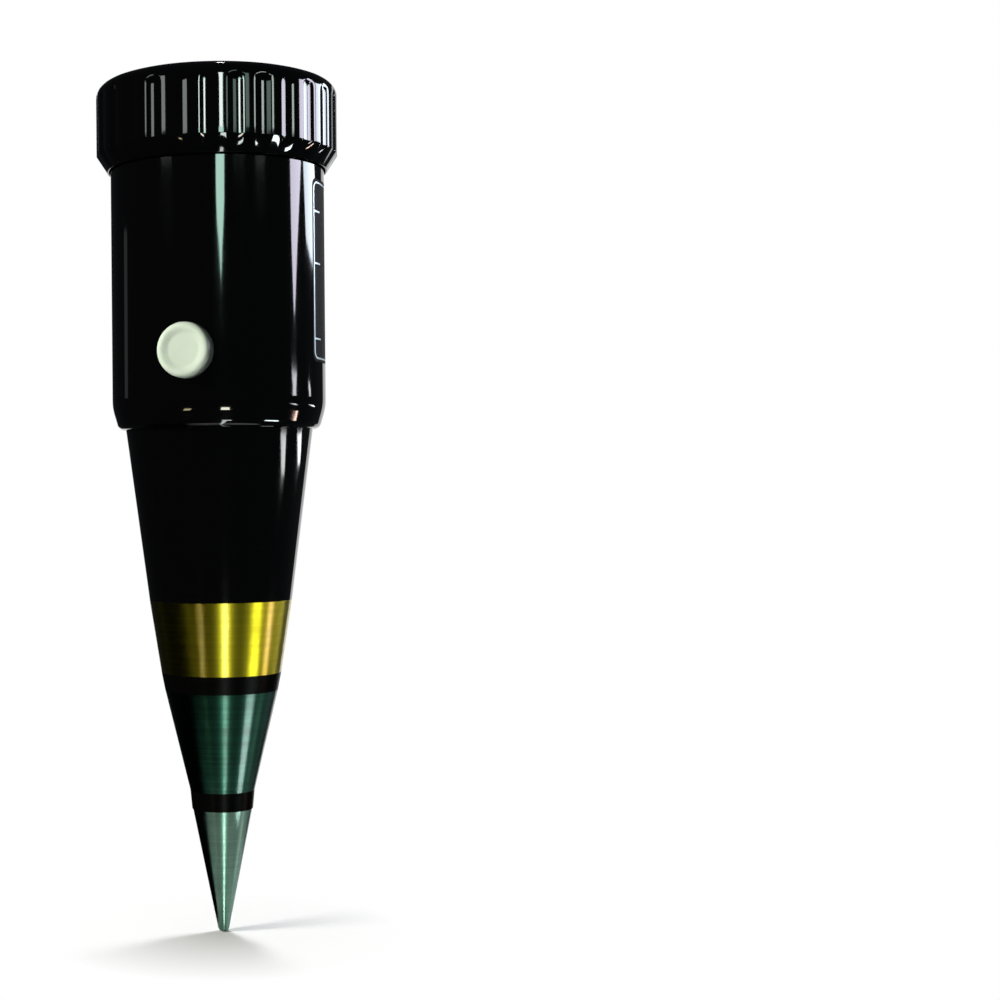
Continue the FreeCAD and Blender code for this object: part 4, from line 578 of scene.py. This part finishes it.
cream_abs, tree, shader, place = surface(
    "satin_cream_abs", "#DAE7D8", 0.32, ior=1.54,
    **{"Subsurface Weight": 0.15, "Subsurface Radius": (0.6, 0.8, 0.5),
       "Subsurface Scale": 1.2 * MM})


def cloudy(tree, place, size, detail, code, other):
    """A colour that drifts between two tones in soft patches of a size in millimetres."""
    cloud = add(tree, "TexNoise", {"Vector": place, "Scale": 1 / (size * MM), "Detail": detail})
    tint = add(tree, "Mix", {
        "Factor": cloud.outputs[0], "A": linear(code), "B": linear(other)}, data_type="RGBA")
    return tint.outputs["Result"]


cream = cloudy(tree, place, 2.5, 3.0, "#D3E2D0", "#DEEADB")
tree.links.new(cream, shader.inputs["Base Color"])
grain = add(tree, "TexNoise", {"Vector": place, "Scale": 1 / (0.2 * MM), "Detail": 2.0})
relief = add(tree, "Bump", {"Height": grain.outputs[0], "Strength": 0.15, "Distance": 0.01 * MM})
tree.links.new(relief.outputs[0], shader.inputs["Normal"])


def lathe(profile, steps, place):
    """Corners and faces of a solid turned round an axis along Y through place, its (x, z).  Each
    (radius, y) point of the profile goes round a circle, with quads between neighbours.  The
    profile starts and ends on the axis, and triangles to one point close it there."""
    turn = np.arange(steps)[:, None] * 2 * np.pi / steps
    radius, depth = profile[1:-1].T
    rings = np.stack([
        place[0] + radius * np.cos(turn), np.broadcast_to(depth, (steps, len(depth))),
        place[1] - radius * np.sin(turn)], -1)
    rows = len(radius)
    index = np.arange(steps * rows).reshape(steps, rows)
    after = np.roll(index, -1, axis=0)
    walls = np.stack([index[:, :-1], index[:, 1:], after[:, 1:], after[:, :-1]], -1).reshape(-1, 4)
    first, last = np.full(steps, steps * rows), np.full(steps, steps * rows + 1)
    back = np.column_stack([first, index[:, 0], after[:, 0]])
    front = np.column_stack([last, after[:, -1], index[:, -1]])
    poles = [[place[0], profile[0, 1], place[1]], [place[0], profile[-1, 1], place[1]]]
    faces = walls.tolist() + back.tolist() + front.tolist()
    return np.concatenate([rings.reshape(-1, 3), poles]), faces


button_low, button_high = [np.array(corner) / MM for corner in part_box("button_cap")]
button_face, button_back = button_low[1], button_high[1]
button_height = (button_low[2] + button_high[2]) / 2
flange_radius = (button_high[0] - button_low[0]) / 2
# the plan of the face: the dish falls away in half a cosine wave from its edge to its floor
across_dish = np.linspace(0, 1, DISH_POINTS)
dish = np.column_stack([
    DISH_RADIUS - DISH_SLOPE * across_dish,
    button_face + DISH_DEPTH * (1 - np.cos(np.pi * across_dish)) / 2])
edge_turn = np.radians(np.linspace(0, 90, BUTTON_EDGE_POINTS))
edge = np.column_stack([
    BUTTON_RADIUS - BUTTON_EDGE + BUTTON_EDGE * np.cos(edge_turn),
    button_face + BUTTON_EDGE - BUTTON_EDGE * np.sin(edge_turn)])
flange_front = button_back - FLANGE_THICKNESS
button_profile = np.concatenate([
    [(0, button_back), (flange_radius, button_back), (flange_radius, flange_front),
     (BUTTON_RADIUS, flange_front), (BUTTON_RADIUS, button_face + 2 * BUTTON_EDGE)],
    edge, dish, [(0, button_face + DISH_DEPTH)]])
button = piece("push_button", [lathe(button_profile, BUTTON_STEPS, (0.0, button_height))],
               cream_abs, "button", smooth=True)
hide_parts("button_cap")

# ---------------------------------------- electrodes
# The three bare electrodes are turned in a lathe on one taper.  The tool leaves fine rings, which
# draw the light out into streaks along the cone.  The upper one is brass.  The other two are zinc
# alloy, and use in wet soil has darkened the middle one.

# a real tool's rings are finer, and these are as coarse as it takes to show
RING_PITCH = 0.33


def turned_metal(name, code, shade, roughness, coat):
    """Metal with lathe rings: the relief is a wave along Z at the feed of the tool, and the colour
    and roughness change in rings and in soft stains."""
    material, tree, shader, place = surface(
        name, code, roughness, metallic=1.0,
        **{"Anisotropic": 0.9, "Anisotropic Rotation": 0.25,
           "Coat Weight": coat, "Coat Roughness": 0.16})
    around = add(tree, "Tangent", direction_type="RADIAL", axis="Z")
    tree.links.new(around.outputs[0], shader.inputs["Tangent"])
    stretched = add(tree, "Mapping", {"Vector": place, "Scale": (0.02, 0.02, 1.0)})
    rings = add(tree, "TexNoise", {
        "Vector": stretched.outputs[0], "Scale": 1 / (0.5 * MM), "Detail": 4.0})
    stains = add(tree, "TexNoise", {"Vector": place, "Scale": 1 / (5 * MM), "Detail": 4.0})
    both = add(tree, "Math", {0: rings.outputs[0], 1: stains.outputs[0]}, operation="ADD")
    share = add(tree, "MapRange", {"Value": both.outputs[0], "From Min": 0.75, "From Max": 1.3})
    tint = add(tree, "Mix", {
        "Factor": share.outputs[0], "A": linear(code), "B": linear(shade)}, data_type="RGBA")
    tree.links.new(tint.outputs["Result"], shader.inputs["Base Color"])
    rough = add(tree, "MapRange", {
        "Value": both.outputs[0], "From Min": 0.7, "From Max": 1.3,
        "To Min": roughness - 0.05, "To Max": roughness + 0.06})
    tree.links.new(rough.outputs[0], shader.inputs["Roughness"])
    # the wave node's bands repeat every 2 pi / 20 at a scale of 1
    feed = add(tree, "TexWave", {
        "Vector": place, "Scale": 2 * math.pi / (20 * RING_PITCH * MM), "Distortion": 0.4},
        bands_direction="Z")
    relief = add(tree, "Bump", {
        "Height": feed.outputs["Fac"], "Strength": 0.12, "Distance": 0.01 * MM})
    tree.links.new(relief.outputs[0], shader.inputs["Normal"])
    return material


wear(turned_metal("turned_brass", "#C6B622", "#AC9C16", 0.36, 0.5), "brass_electrode")
wear(turned_metal("darkened_zinc", "#245041", "#183C2E", 0.38, 0.25), "mid_electrode")
wear(turned_metal("turned_zinc", "#6C8E7E", "#5C7E6F", 0.38, 0.25), "tip_electrode")

# ---------------------------------------- insulators and seals
# The rings between the electrodes and the sleeve on the rod are moulded in black phenolic, duller
# than the case.  The seals are nitrile rubber, matte and slightly grey.
phenolic, tree, shader, place = surface(
    "moulded_black_phenolic", "#040404", 0.3, **{"Specular IOR Level": 0.03})
fleck = add(tree, "TexNoise", {"Vector": place, "Scale": 1 / (0.4 * MM), "Detail": 3.0})
rough = add(tree, "MapRange", {"Value": fleck.outputs[0], "To Min": 0.22, "To Max": 0.38})
tree.links.new(rough.outputs[0], shader.inputs["Roughness"])
wear(phenolic, "lower_insulator", "upper_insulator", "rod_sleeve", "button_stem")

rubber, tree, shader, place = surface("nitrile_rubber", "#161617", 0.75)
bloom = cloudy(tree, place, 1.5, 4.0, "#101011", "#222224")
tree.links.new(bloom, shader.inputs["Base Color"])
wear(rubber, "lens_gasket", "cone_seal", "electrode_seals")

# ---------------------------------------- window
# The window is a disc of clear acrylic, cut from polished sheet.  Lamps shine through it on to the
# dial, which a shader that bends light would otherwise keep dark.
acrylic, tree, shader, place = surface(
    "polished_clear_acrylic", "#FAFCFC", 0.0, ior=1.49, **{"Transmission Weight": 1.0})
open_air = add(tree, "BsdfTransparent", {"Color": linear("#FAFCFC")})
path = add(tree, "LightPath")
pane = add(tree, "MixShader", {
    0: path.outputs["Is Shadow Ray"], 1: shader.outputs[0], 2: open_air.outputs[0]})
tree.links.new(pane.outputs[0], tree.nodes["Material Output"].inputs["Surface"])
wear(acrylic, "lens")

# ---------------------------------------- dial
# The dial is a thin sheet painted pale grey-white, with its scales screen printed.  The outer scale
# runs from 3 to 8 and the inner one from 8 to 1.  Angles are clockwise from twelve o'clock about
# the pointer's pivot.
INK = 0.03
LINE = 0.22
MAJOR_ANGLES = (-31.4, -21.5, -8.9, 4.9, 24.2, 33.3)
CELLS_PER_STEP = 5
LADDER = (20.4, 21.8)
RED_BAND = (18.5, 19.9)
GREEN_BAND = (16.6, 18.1)
GREEN_ANGLES = (-30.9, 23.2)
GREEN_CELLS = 8
MAJOR_TICK = 1.3 * LINE
GREEN_TICK = 1.5 * LINE
TICK_OVERHANG = 0.45
NUMERAL_RADIUS = 23.3
NUMERAL_HEIGHT = 1.5
SMALL_NUMERAL_RADIUS = 15.4
SMALL_NUMERAL_HEIGHT = 0.95
# the font's size over the height of its numerals
FONT_SIZE = 1.4

# sprayed paint is matt, a little mottled, with a fine skin like orange peel
dial_white, tree, shader, place = surface(
    "white_dial_paint", "#DDE6E4", 0.5, **{"Specular IOR Level": 0.25})
mottle = cloudy(tree, place, 6, 5.0, "#D3DDDC", "#E4ECEA")
tree.links.new(mottle, shader.inputs["Base Color"])
peel = add(tree, "TexNoise", {"Vector": place, "Scale": 1 / (0.3 * MM), "Detail": 2.0})
relief = add(tree, "Bump", {"Height": peel.outputs[0], "Strength": 0.15, "Distance": 0.01 * MM})
tree.links.new(relief.outputs[0], shader.inputs["Normal"])
wear(dial_white, "dial_plate")


def ink(name, code, deep):
    """Screen ink: flat colour that is slightly thin in places."""
    material, tree, shader, place = surface(name, code, 0.45, **{"Specular IOR Level": 0.15})
    thin = add(tree, "TexNoise", {"Vector": place, "Scale": 1 / (0.8 * MM), "Detail": 3.0})
    share = add(tree, "MapRange", {"Value": thin.outputs[0], "From Min": 0.35, "From Max": 0.7})
    tint = add(tree, "Mix", {
        "Factor": share.outputs[0], "A": linear(code), "B": linear(deep)}, data_type="RGBA")
    tree.links.new(tint.outputs["Result"], shader.inputs["Base Color"])
    return material


black_ink = ink("black_screen_ink", "#101214", "#1C1F22")
red_ink = ink("red_screen_ink", "#CE0630", "#BE0229")
green_ink = ink("green_screen_ink", "#35D272", "#2CC466")
yellow_ink = ink("yellow_green_screen_ink", "#B0CC10", "#A2BE08")
white_ink = ink("white_screen_ink", "#EEF3F8", "#E4EAF0")
dark_green_ink = ink("dark_green_screen_ink", "#2F5B40", "#264E36")

pivot = np.array(joints["pointer_swing"]["pos_m"][:2]) / MM
dial_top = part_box("dial_plate")[1].z / MM


def arc_on_dial(low_radius, high_radius, start, end, lift=0.0):
    """A printed arc between two angles clockwise from twelve o'clock."""
    return bent_bar(low_radius, high_radius, dial_top + lift, dial_top + lift + INK,
                    90 - end, 90 - start, centre=pivot)


def tick_on_dial(low_radius, high_radius, angle, width, lift=0.0):
    """A printed radial line of even width at one angle."""
    half = math.degrees(width / 2 / high_radius)
    return arc_on_dial(low_radius, high_radius, angle - half, angle + half, lift)


def numerals(texts, angles, radius, height):
    """Numbers set round the pivot, upright to it, as corners and faces."""
    parts = []
    for text, angle in zip(texts, angles):
        curve = bpy.data.curves.new("numeral", "FONT")
        curve.body = text
        curve.size = height * FONT_SIZE
        curve.align_x = "CENTER"
        curve.align_y = "CENTER"
        curve.extrude = INK / 2
        writer = bpy.data.objects.new("numeral", curve)
        mesh = bpy.data.meshes.new_from_object(writer)
        flat = np.empty(len(mesh.vertices) * 3)
        mesh.vertices.foreach_get("co", flat)
        shape = flat.reshape(-1, 3)
        turn = math.radians(angle)
        along = np.array([math.cos(turn), -math.sin(turn)])
        outward = np.array([math.sin(turn), math.cos(turn)])
        flat_place = pivot + shape[:, :1] * along + (shape[:, 1:2] + radius) * outward
        height_of = shape[:, 2:] + dial_top + INK / 2
        faces = [list(face.vertices) for face in mesh.polygons]
        parts.append((np.hstack([flat_place, height_of]), faces))
        bpy.data.objects.remove(writer)
        bpy.data.curves.remove(curve)
        bpy.data.meshes.remove(mesh)
    return parts


first, last = MAJOR_ANGLES[0], MAJOR_ANGLES[-1]
red_end = MAJOR_ANGLES[4]
piece("scale_white", [arc_on_dial(*LADDER, first, last)], white_ink, "root")
piece("scale_red_band", [arc_on_dial(*RED_BAND, first, red_end)], red_ink, "root")
piece("scale_yellow_band", [arc_on_dial(*RED_BAND, red_end, last)], yellow_ink, "root")
piece("scale_green_band", [arc_on_dial(*GREEN_BAND, *GREEN_ANGLES)], green_ink, "root")

green_edges = np.linspace(*GREEN_ANGLES, GREEN_CELLS + 1)
lines = [arc_on_dial(radius - LINE / 2, radius + LINE / 2, first, last, INK) for radius in LADDER]
for start, end in zip(MAJOR_ANGLES, MAJOR_ANGLES[1:]):
    for angle in np.linspace(start, end, CELLS_PER_STEP + 1)[1:-1]:
        lines.append(tick_on_dial(*LADDER, angle, LINE, INK))
for angle in MAJOR_ANGLES:
    lines.append(tick_on_dial(LADDER[0], LADDER[1] + TICK_OVERHANG, angle, MAJOR_TICK, INK))
for angle in green_edges[:-1]:
    lines.append(tick_on_dial(GREEN_BAND[0] - TICK_OVERHANG, GREEN_BAND[1], angle, GREEN_TICK, INK))
piece("scale_lines", lines, black_ink, "root")
green_middles = (green_edges[:-1] + green_edges[1:]) / 2
NUMERALS = [
    ("scale_numerals_red", "3567", [MAJOR_ANGLES[i] for i in (0, 2, 3, 4)],
     NUMERAL_RADIUS, NUMERAL_HEIGHT, red_ink),
    ("scale_numeral_black", "4", MAJOR_ANGLES[1:2], NUMERAL_RADIUS, NUMERAL_HEIGHT, black_ink),
    ("scale_numeral_green", "8", MAJOR_ANGLES[5:], NUMERAL_RADIUS, NUMERAL_HEIGHT, dark_green_ink),
    ("moisture_numerals", "87654321", green_middles,
     SMALL_NUMERAL_RADIUS, SMALL_NUMERAL_HEIGHT, black_ink),
]
for name, texts, angles, radius, height, material in NUMERALS:
    piece(name, numerals(texts, angles, radius, height), material, "root")

# ---------------------------------------- rivets
# Two small rivets hold the dial on the posts of the frame.  They are blackened in a chemical bath,
# which leaves a dull sheen, and only their heads show.


def worked(name, code, other, roughness, grain, **more):
    """A finish whose colour drifts between two tones in patches of one size in millimetres, and
    whose roughness drifts with it."""
    material, tree, shader, place = surface(name, code, roughness, **more)
    drift = add(tree, "TexNoise", {"Vector": place, "Scale": 1 / (grain * MM), "Detail": 4.0})
    share = add(tree, "MapRange", {"Value": drift.outputs[0], "From Min": 0.3, "From Max": 0.7})
    tint = add(tree, "Mix", {
        "Factor": share.outputs[0], "A": linear(code), "B": linear(other)}, data_type="RGBA")
    tree.links.new(tint.outputs["Result"], shader.inputs["Base Color"])
    rough = add(tree, "MapRange", {
        "Value": drift.outputs[0], "From Min": 0.3, "From Max": 0.7,
        "To Min": 0.85 * roughness, "To Max": 1.15 * roughness})
    tree.links.new(rough.outputs[0], shader.inputs["Roughness"])
    return material


wear(worked("blackened_rivet", "#0C0C0E", "#161619", 0.4, 0.3, metallic=0.5), "dial_rivets")

# ---------------------------------------- wall and cover of the dial
# The wall round the dial and the cover over the movement are moulded in pale polystyrene.  The
# cover is ribbed across, and shade is painted along its grooves as thin dark lines.  Two bands of
# short slots in the middle of it let air through to the movement, and they are painted dark as the
# shade inside them.
RIB_PITCH = 0.78
RIB_HEIGHT = 0.3
# the width of the shade painted along each groove
GROOVE_SHADE_WIDTH = 0.13
# a groove's painted shade fades out between these shares of its width from its middle
GROOVE_FADE = (0.4, 0.75)
SLOT_PITCH = 0.9
SLOT_HALF_HEIGHT = 0.13
SLOT_HALF_WIDTH = 0.24 * SLOT_PITCH
VENT_HALF_WIDTH = 6.4
# the middle and half the depth of each band of slots, down from the cover's straight edge
SLOT_BANDS = [(-0.6, 1.2), (7.9, 2.2)]
# the straight edge is this far beyond the pivot, and a round bulge stands beyond it
COVER_EDGE = 4.8
BULGE_RIB_DEPTH = 2.7
BULGE_RADIUS = 8.2
BULGE_CENTRE = 1.6
BULGE_HALF_ARC = 58
# the edges of the painted shade round the bulge, in from the bulge's own edge
BULGE_SHADE = (0.16, 0.02)

pale_wall, tree, shader, place = surface("moulded_pale_polystyrene", "#CFDCDA", 0.38, ior=1.59)
pale = cloudy(tree, place, 4, 3.0, "#C6D5D3", "#D8E3E1")
tree.links.new(pale, shader.inputs["Base Color"])
wear(pale_wall, "dial_ring")

# distances count down from the cover's straight edge, and painted shade lies along a groove at
# every whole rib pitch, with a row of slots painted dark as shade along it in each band
ribbed, tree, shader, place = surface("ribbed_pale_polystyrene", "#DCE6E5", 0.4, ior=1.59)
pale = cloudy(tree, place, 5, 3.0, "#D2DFDE", "#E6EEED")
axes = add(tree, "SeparateXYZ", {"Vector": place})
cover_edge = (pivot[1] + COVER_EDGE) * MM
down = add(tree, "Math", {0: cover_edge, 1: axes.outputs["Y"]}, operation="SUBTRACT")
turns = add(tree, "Math", {0: down.outputs[0], 1: RIB_PITCH * MM}, operation="DIVIDE")
off = add(tree, "Math", {0: turns.outputs[0], 1: 0.5}, operation="PINGPONG")
line = add(tree, "MapRange", {
    "Value": off.outputs[0], "From Min": GROOVE_FADE[0] * GROOVE_SHADE_WIDTH / RIB_PITCH,
    "From Max": GROOVE_FADE[1] * GROOVE_SHADE_WIDTH / RIB_PITCH, "To Min": 1.0, "To Max": 0.0})
across = add(tree, "Math", {0: axes.outputs["X"]}, operation="ABSOLUTE")
central = add(tree, "Math", {0: across.outputs[0], 1: VENT_HALF_WIDTH * MM}, operation="LESS_THAN")
top_edge = add(tree, "Math", {
    0: central.outputs[0], 1: -BULGE_RIB_DEPTH * MM}, operation="MULTIPLY")
below = add(tree, "Math", {0: down.outputs[0], 1: top_edge.outputs[0]}, operation="GREATER_THAN")
groove_shade = add(tree, "Math", {0: line.outputs[0], 1: below.outputs[0]}, operation="MULTIPLY")
bands = [
    add(tree, "Math", {0: down.outputs[0], 1: middle * MM, 2: half * MM}, operation="COMPARE")
    for middle, half in SLOT_BANDS]
banded = add(tree, "Math", {0: bands[0].outputs[0], 1: bands[1].outputs[0]}, operation="MAXIMUM")
vent = add(tree, "Math", {0: banded.outputs[0], 1: central.outputs[0]}, operation="MULTIPLY")
columns = add(tree, "Math", {0: axes.outputs["X"], 1: SLOT_PITCH * MM}, operation="DIVIDE")
column = add(tree, "Math", {0: columns.outputs[0], 1: 0.5}, operation="PINGPONG")
in_column = add(tree, "Math", {
    0: column.outputs[0], 1: SLOT_HALF_WIDTH / SLOT_PITCH}, operation="LESS_THAN")
in_row = add(tree, "Math", {
    0: off.outputs[0], 1: SLOT_HALF_HEIGHT / RIB_PITCH}, operation="LESS_THAN")
slot = add(tree, "Math", {0: in_column.outputs[0], 1: in_row.outputs[0]}, operation="MULTIPLY")
slot_shade = add(tree, "Math", {0: slot.outputs[0], 1: vent.outputs[0]}, operation="MULTIPLY")
painted_shade = add(tree, "Math", {0: groove_shade.outputs[0], 1: slot_shade.outputs[0]}, operation="MAXIMUM")
# painted shade: the grooves and slots are coloured a dark grey-green
shaded_cover = add(tree, "Mix", {
    "Factor": painted_shade.outputs[0], "A": pale, "B": linear("#26302F")}, data_type="RGBA")
tree.links.new(shaded_cover.outputs["Result"], shader.inputs["Base Color"])
wear(ribbed, "dial_cover")

sheet_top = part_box("dial_cover")[1].z / MM - RIB_HEIGHT
# painted shade: a thin black band just inside the bulge's edge, where its wall falls into shade
piece("cover_edge_shade", [bent_bar(
    BULGE_RADIUS - BULGE_SHADE[0], BULGE_RADIUS - BULGE_SHADE[1], sheet_top, sheet_top + INK,
    90 - BULGE_HALF_ARC, 90 + BULGE_HALF_ARC, centre=(pivot[0], pivot[1] + BULGE_CENTRE))],
    black_ink, "root")

# ---------------------------------------- pointer
# The pointer is cut from thin aluminium sheet and sprayed crimson, which dries a little mottled.
# Its inner end, by the edge of the cover, is darkened with painted shade.
# the pointer is painted dark as shade within this reach of its pivot
POINTER_SHADE_END = 10.4

crimson, tree, shader, place = surface("crimson_spray_paint", "#C81238", 0.35)
paint = cloudy(tree, place, 1, 3.0, "#BE0E34", "#D6224A")
reach = add(tree, "VectorMath", {
    0: place, 1: (pivot[0] * MM, pivot[1] * MM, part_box("pointer")[1].z)}, operation="DISTANCE")
in_shade = add(tree, "Math", {0: reach.outputs["Value"], 1: POINTER_SHADE_END * MM}, operation="LESS_THAN")
# painted shade darkens the pointer's inner end, by the cover's edge
paint_and_shade = add(tree, "Mix", {
    "Factor": in_shade.outputs[0], "A": paint, "B": linear("#2A0A12")}, data_type="RGBA")
tree.links.new(paint_and_shade.outputs["Result"], shader.inputs["Base Color"])
wear(crimson, "pointer")

# ---------------------------------------- rod, terminals and screws
# A steel tie rod pulls the electrodes together against the cone.  Its nut and washer, and all the
# screws inside, are bright zinc-plated steel, a soft grey-white shine.  Tags stamped from brass
# sheet and tinned, which looks dull silver, carry the current from them.
plated_steel = worked("zinc_plated_steel", "#B9BCBD", "#A3A8AC", 0.3, 0.8, metallic=1.0)
wear(plated_steel, "tie_rod", "rod_washer", "rod_nut", "terminal_screws", "board_screws",
     "switch_screws", "meter_screws", "yoke_screws", "bridge_screws", "pointer_stops",
     "pivot_staffs")
wear(worked("tinned_brass_sheet", "#C9C6B4", "#B4B09A", 0.35, 0.6, metallic=1.0), "solder_tags")

# ---------------------------------------- leads
# The leads are stranded copper in extruded PVC, which is smooth with a soft sheen.  Their ends are
# soldered, and each group has its own colour.
wear(worked("red_pvc_insulation", "#B02A22", "#9C221C", 0.4, 2.0), "electrode_leads")
wear(worked("blue_pvc_insulation", "#2C4FA8", "#24428F", 0.4, 2.0), "switch_leads")
wear(worked("yellow_pvc_insulation", "#D9B531", "#C6A227", 0.4, 2.0), "meter_leads")

# ---------------------------------------- circuit board
# The board is glass epoxy under green lacquer, and three screws hold it on posts in the barrel.
# The resistors are dipped in tan lacquer, glossy and uneven, and the trimmer is moulded plastic.
wear(worked("green_board_lacquer", "#2A6B40", "#215A34", 0.35, 1.2), "circuit_board")
wear(worked("tan_resistor_lacquer", "#C8A57A", "#B8936A", 0.3, 0.7), "resistors")
wear(worked("blue_moulded_trimmer", "#2B5BB8", "#234C9C", 0.35, 0.9), "trimmer")

# ---------------------------------------- switch
# The switch has contacts of stamped brass, bright from the press, screwed to a base of brown paper
# laminate, which is dull and flecked.  The bar on the button's stem is stamped brass too.
stamped_brass = worked("stamped_brass", "#D0B468", "#BC9E54", 0.28, 0.7, metallic=1.0)
wear(stamped_brass, "contact_bar", "switch_contacts")
wear(worked("brown_paper_laminate", "#6E4024", "#5C331B", 0.45, 0.5), "switch_base")

# ---------------------------------------- movement's frame and magnet
# The movement hangs in a moulded frame, matt and grey.  A turned ring of soft iron, dull silver
# from its zinc plating, closes the field of a core magnet, whose hard alloy is ground and darker.
wear(worked("grey_moulded_frame", "#C2C8C8", "#B3BABA", 0.45, 1.5), "meter_frame")
wear(worked("plated_soft_iron", "#9EA0A2", "#8C8F92", 0.35, 1.0, metallic=1.0), "yoke_ring")
wear(worked("ground_magnet_alloy", "#7E8083", "#6C6E71", 0.38, 0.4, metallic=1.0), "core_magnet")

# ---------------------------------------- movement's bridges
# The bridge, bracket, clamps and zero arm are milled from brass bar, and the jewel screws turned
# from it.  They are left bare, so they are warm and bright with slight tarnish.
bridge_brass = worked("milled_bridge_brass", "#CDB05E", "#B8994A", 0.3, 0.6, metallic=1.0)
wear(bridge_brass, "upper_bridge", "lower_bracket", "core_clamps", "upper_jewel_screw",
     "lower_jewel_screw", "zero_arm")

# ---------------------------------------- coil and hairsprings
# The coil is fine enamelled copper, wound on a former of soft aluminium strip and orange-brown with
# a gleam.  Rolled phosphor bronze hairsprings, redder than brass, are pinned to brass collets, and
# brass weights balance the pointer.
wear(worked("enamelled_copper_winding", "#B4602F", "#994C22", 0.3, 0.12, metallic=1.0),
     "moving_coil")
wear(worked("soft_aluminium_strip", "#D3D5D8", "#C2C5C9", 0.35, 0.6, metallic=1.0), "coil_former")
wear(worked("rolled_phosphor_bronze", "#C48E52", "#B07C44", 0.25, 0.4, metallic=1.0),
     "upper_hairspring", "lower_hairspring")
wear(stamped_brass, "spring_collets", "balance_weights")

# ---------------------------------------- button spring
# The return spring is coiled from hard-drawn steel wire, with its end turns closed and ground flat.
# It stands between the button's flange and the switch base.
SPRING_WIRE_RADIUS = 0.2
SPRING_COILS = 4
STEPS_PER_COIL = 36
WIRE_SIDES = 10

spring_steel = worked("hard_drawn_steel_wire", "#9A9DA0", "#85898D", 0.3, 0.5, metallic=1.0)
spring_low, spring_high = [np.array(corner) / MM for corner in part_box("button_spring")]
coil_radius = (spring_high[0] - spring_low[0]) / 2 - SPRING_WIRE_RADIUS
spring_length = spring_high[1] - spring_low[1]
# the wire's circular section is carried round the axis, and it climbs evenly between a flat half
# turn at each end: from the axis it is the coil's radius + the wire's radius x the cosine
coil = np.linspace(0, SPRING_COILS, SPRING_COILS * STEPS_PER_COIL + 1)[:, None]
section = np.arange(WIRE_SIDES) * 2 * np.pi / WIRE_SIDES
climb = np.clip((coil - 0.5) / (SPRING_COILS - 1), 0, 1) * (spring_length - 2 * SPRING_WIRE_RADIUS)
from_axis = coil_radius + SPRING_WIRE_RADIUS * np.cos(section)
wire = np.stack([
    from_axis * np.cos(2 * np.pi * coil),
    spring_low[1] + SPRING_WIRE_RADIUS + climb + SPRING_WIRE_RADIUS * np.sin(section),
    (spring_low[2] + spring_high[2]) / 2 + from_axis * np.sin(2 * np.pi * coil)], -1)
index = np.arange(len(coil) * WIRE_SIDES).reshape(len(coil), WIRE_SIDES)
across = np.roll(index, -1, axis=1)
wire_walls = np.stack([index[:-1], across[:-1], across[1:], index[1:]], -1).reshape(-1, 4)
wire_ends = [index[0][::-1].tolist(), index[-1].tolist()]
spring = piece("coil_spring", [(wire.reshape(-1, 3), wire_walls.tolist() + wire_ends)],
               spring_steel, "root", smooth=True)
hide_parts("button_spring")
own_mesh(spring)
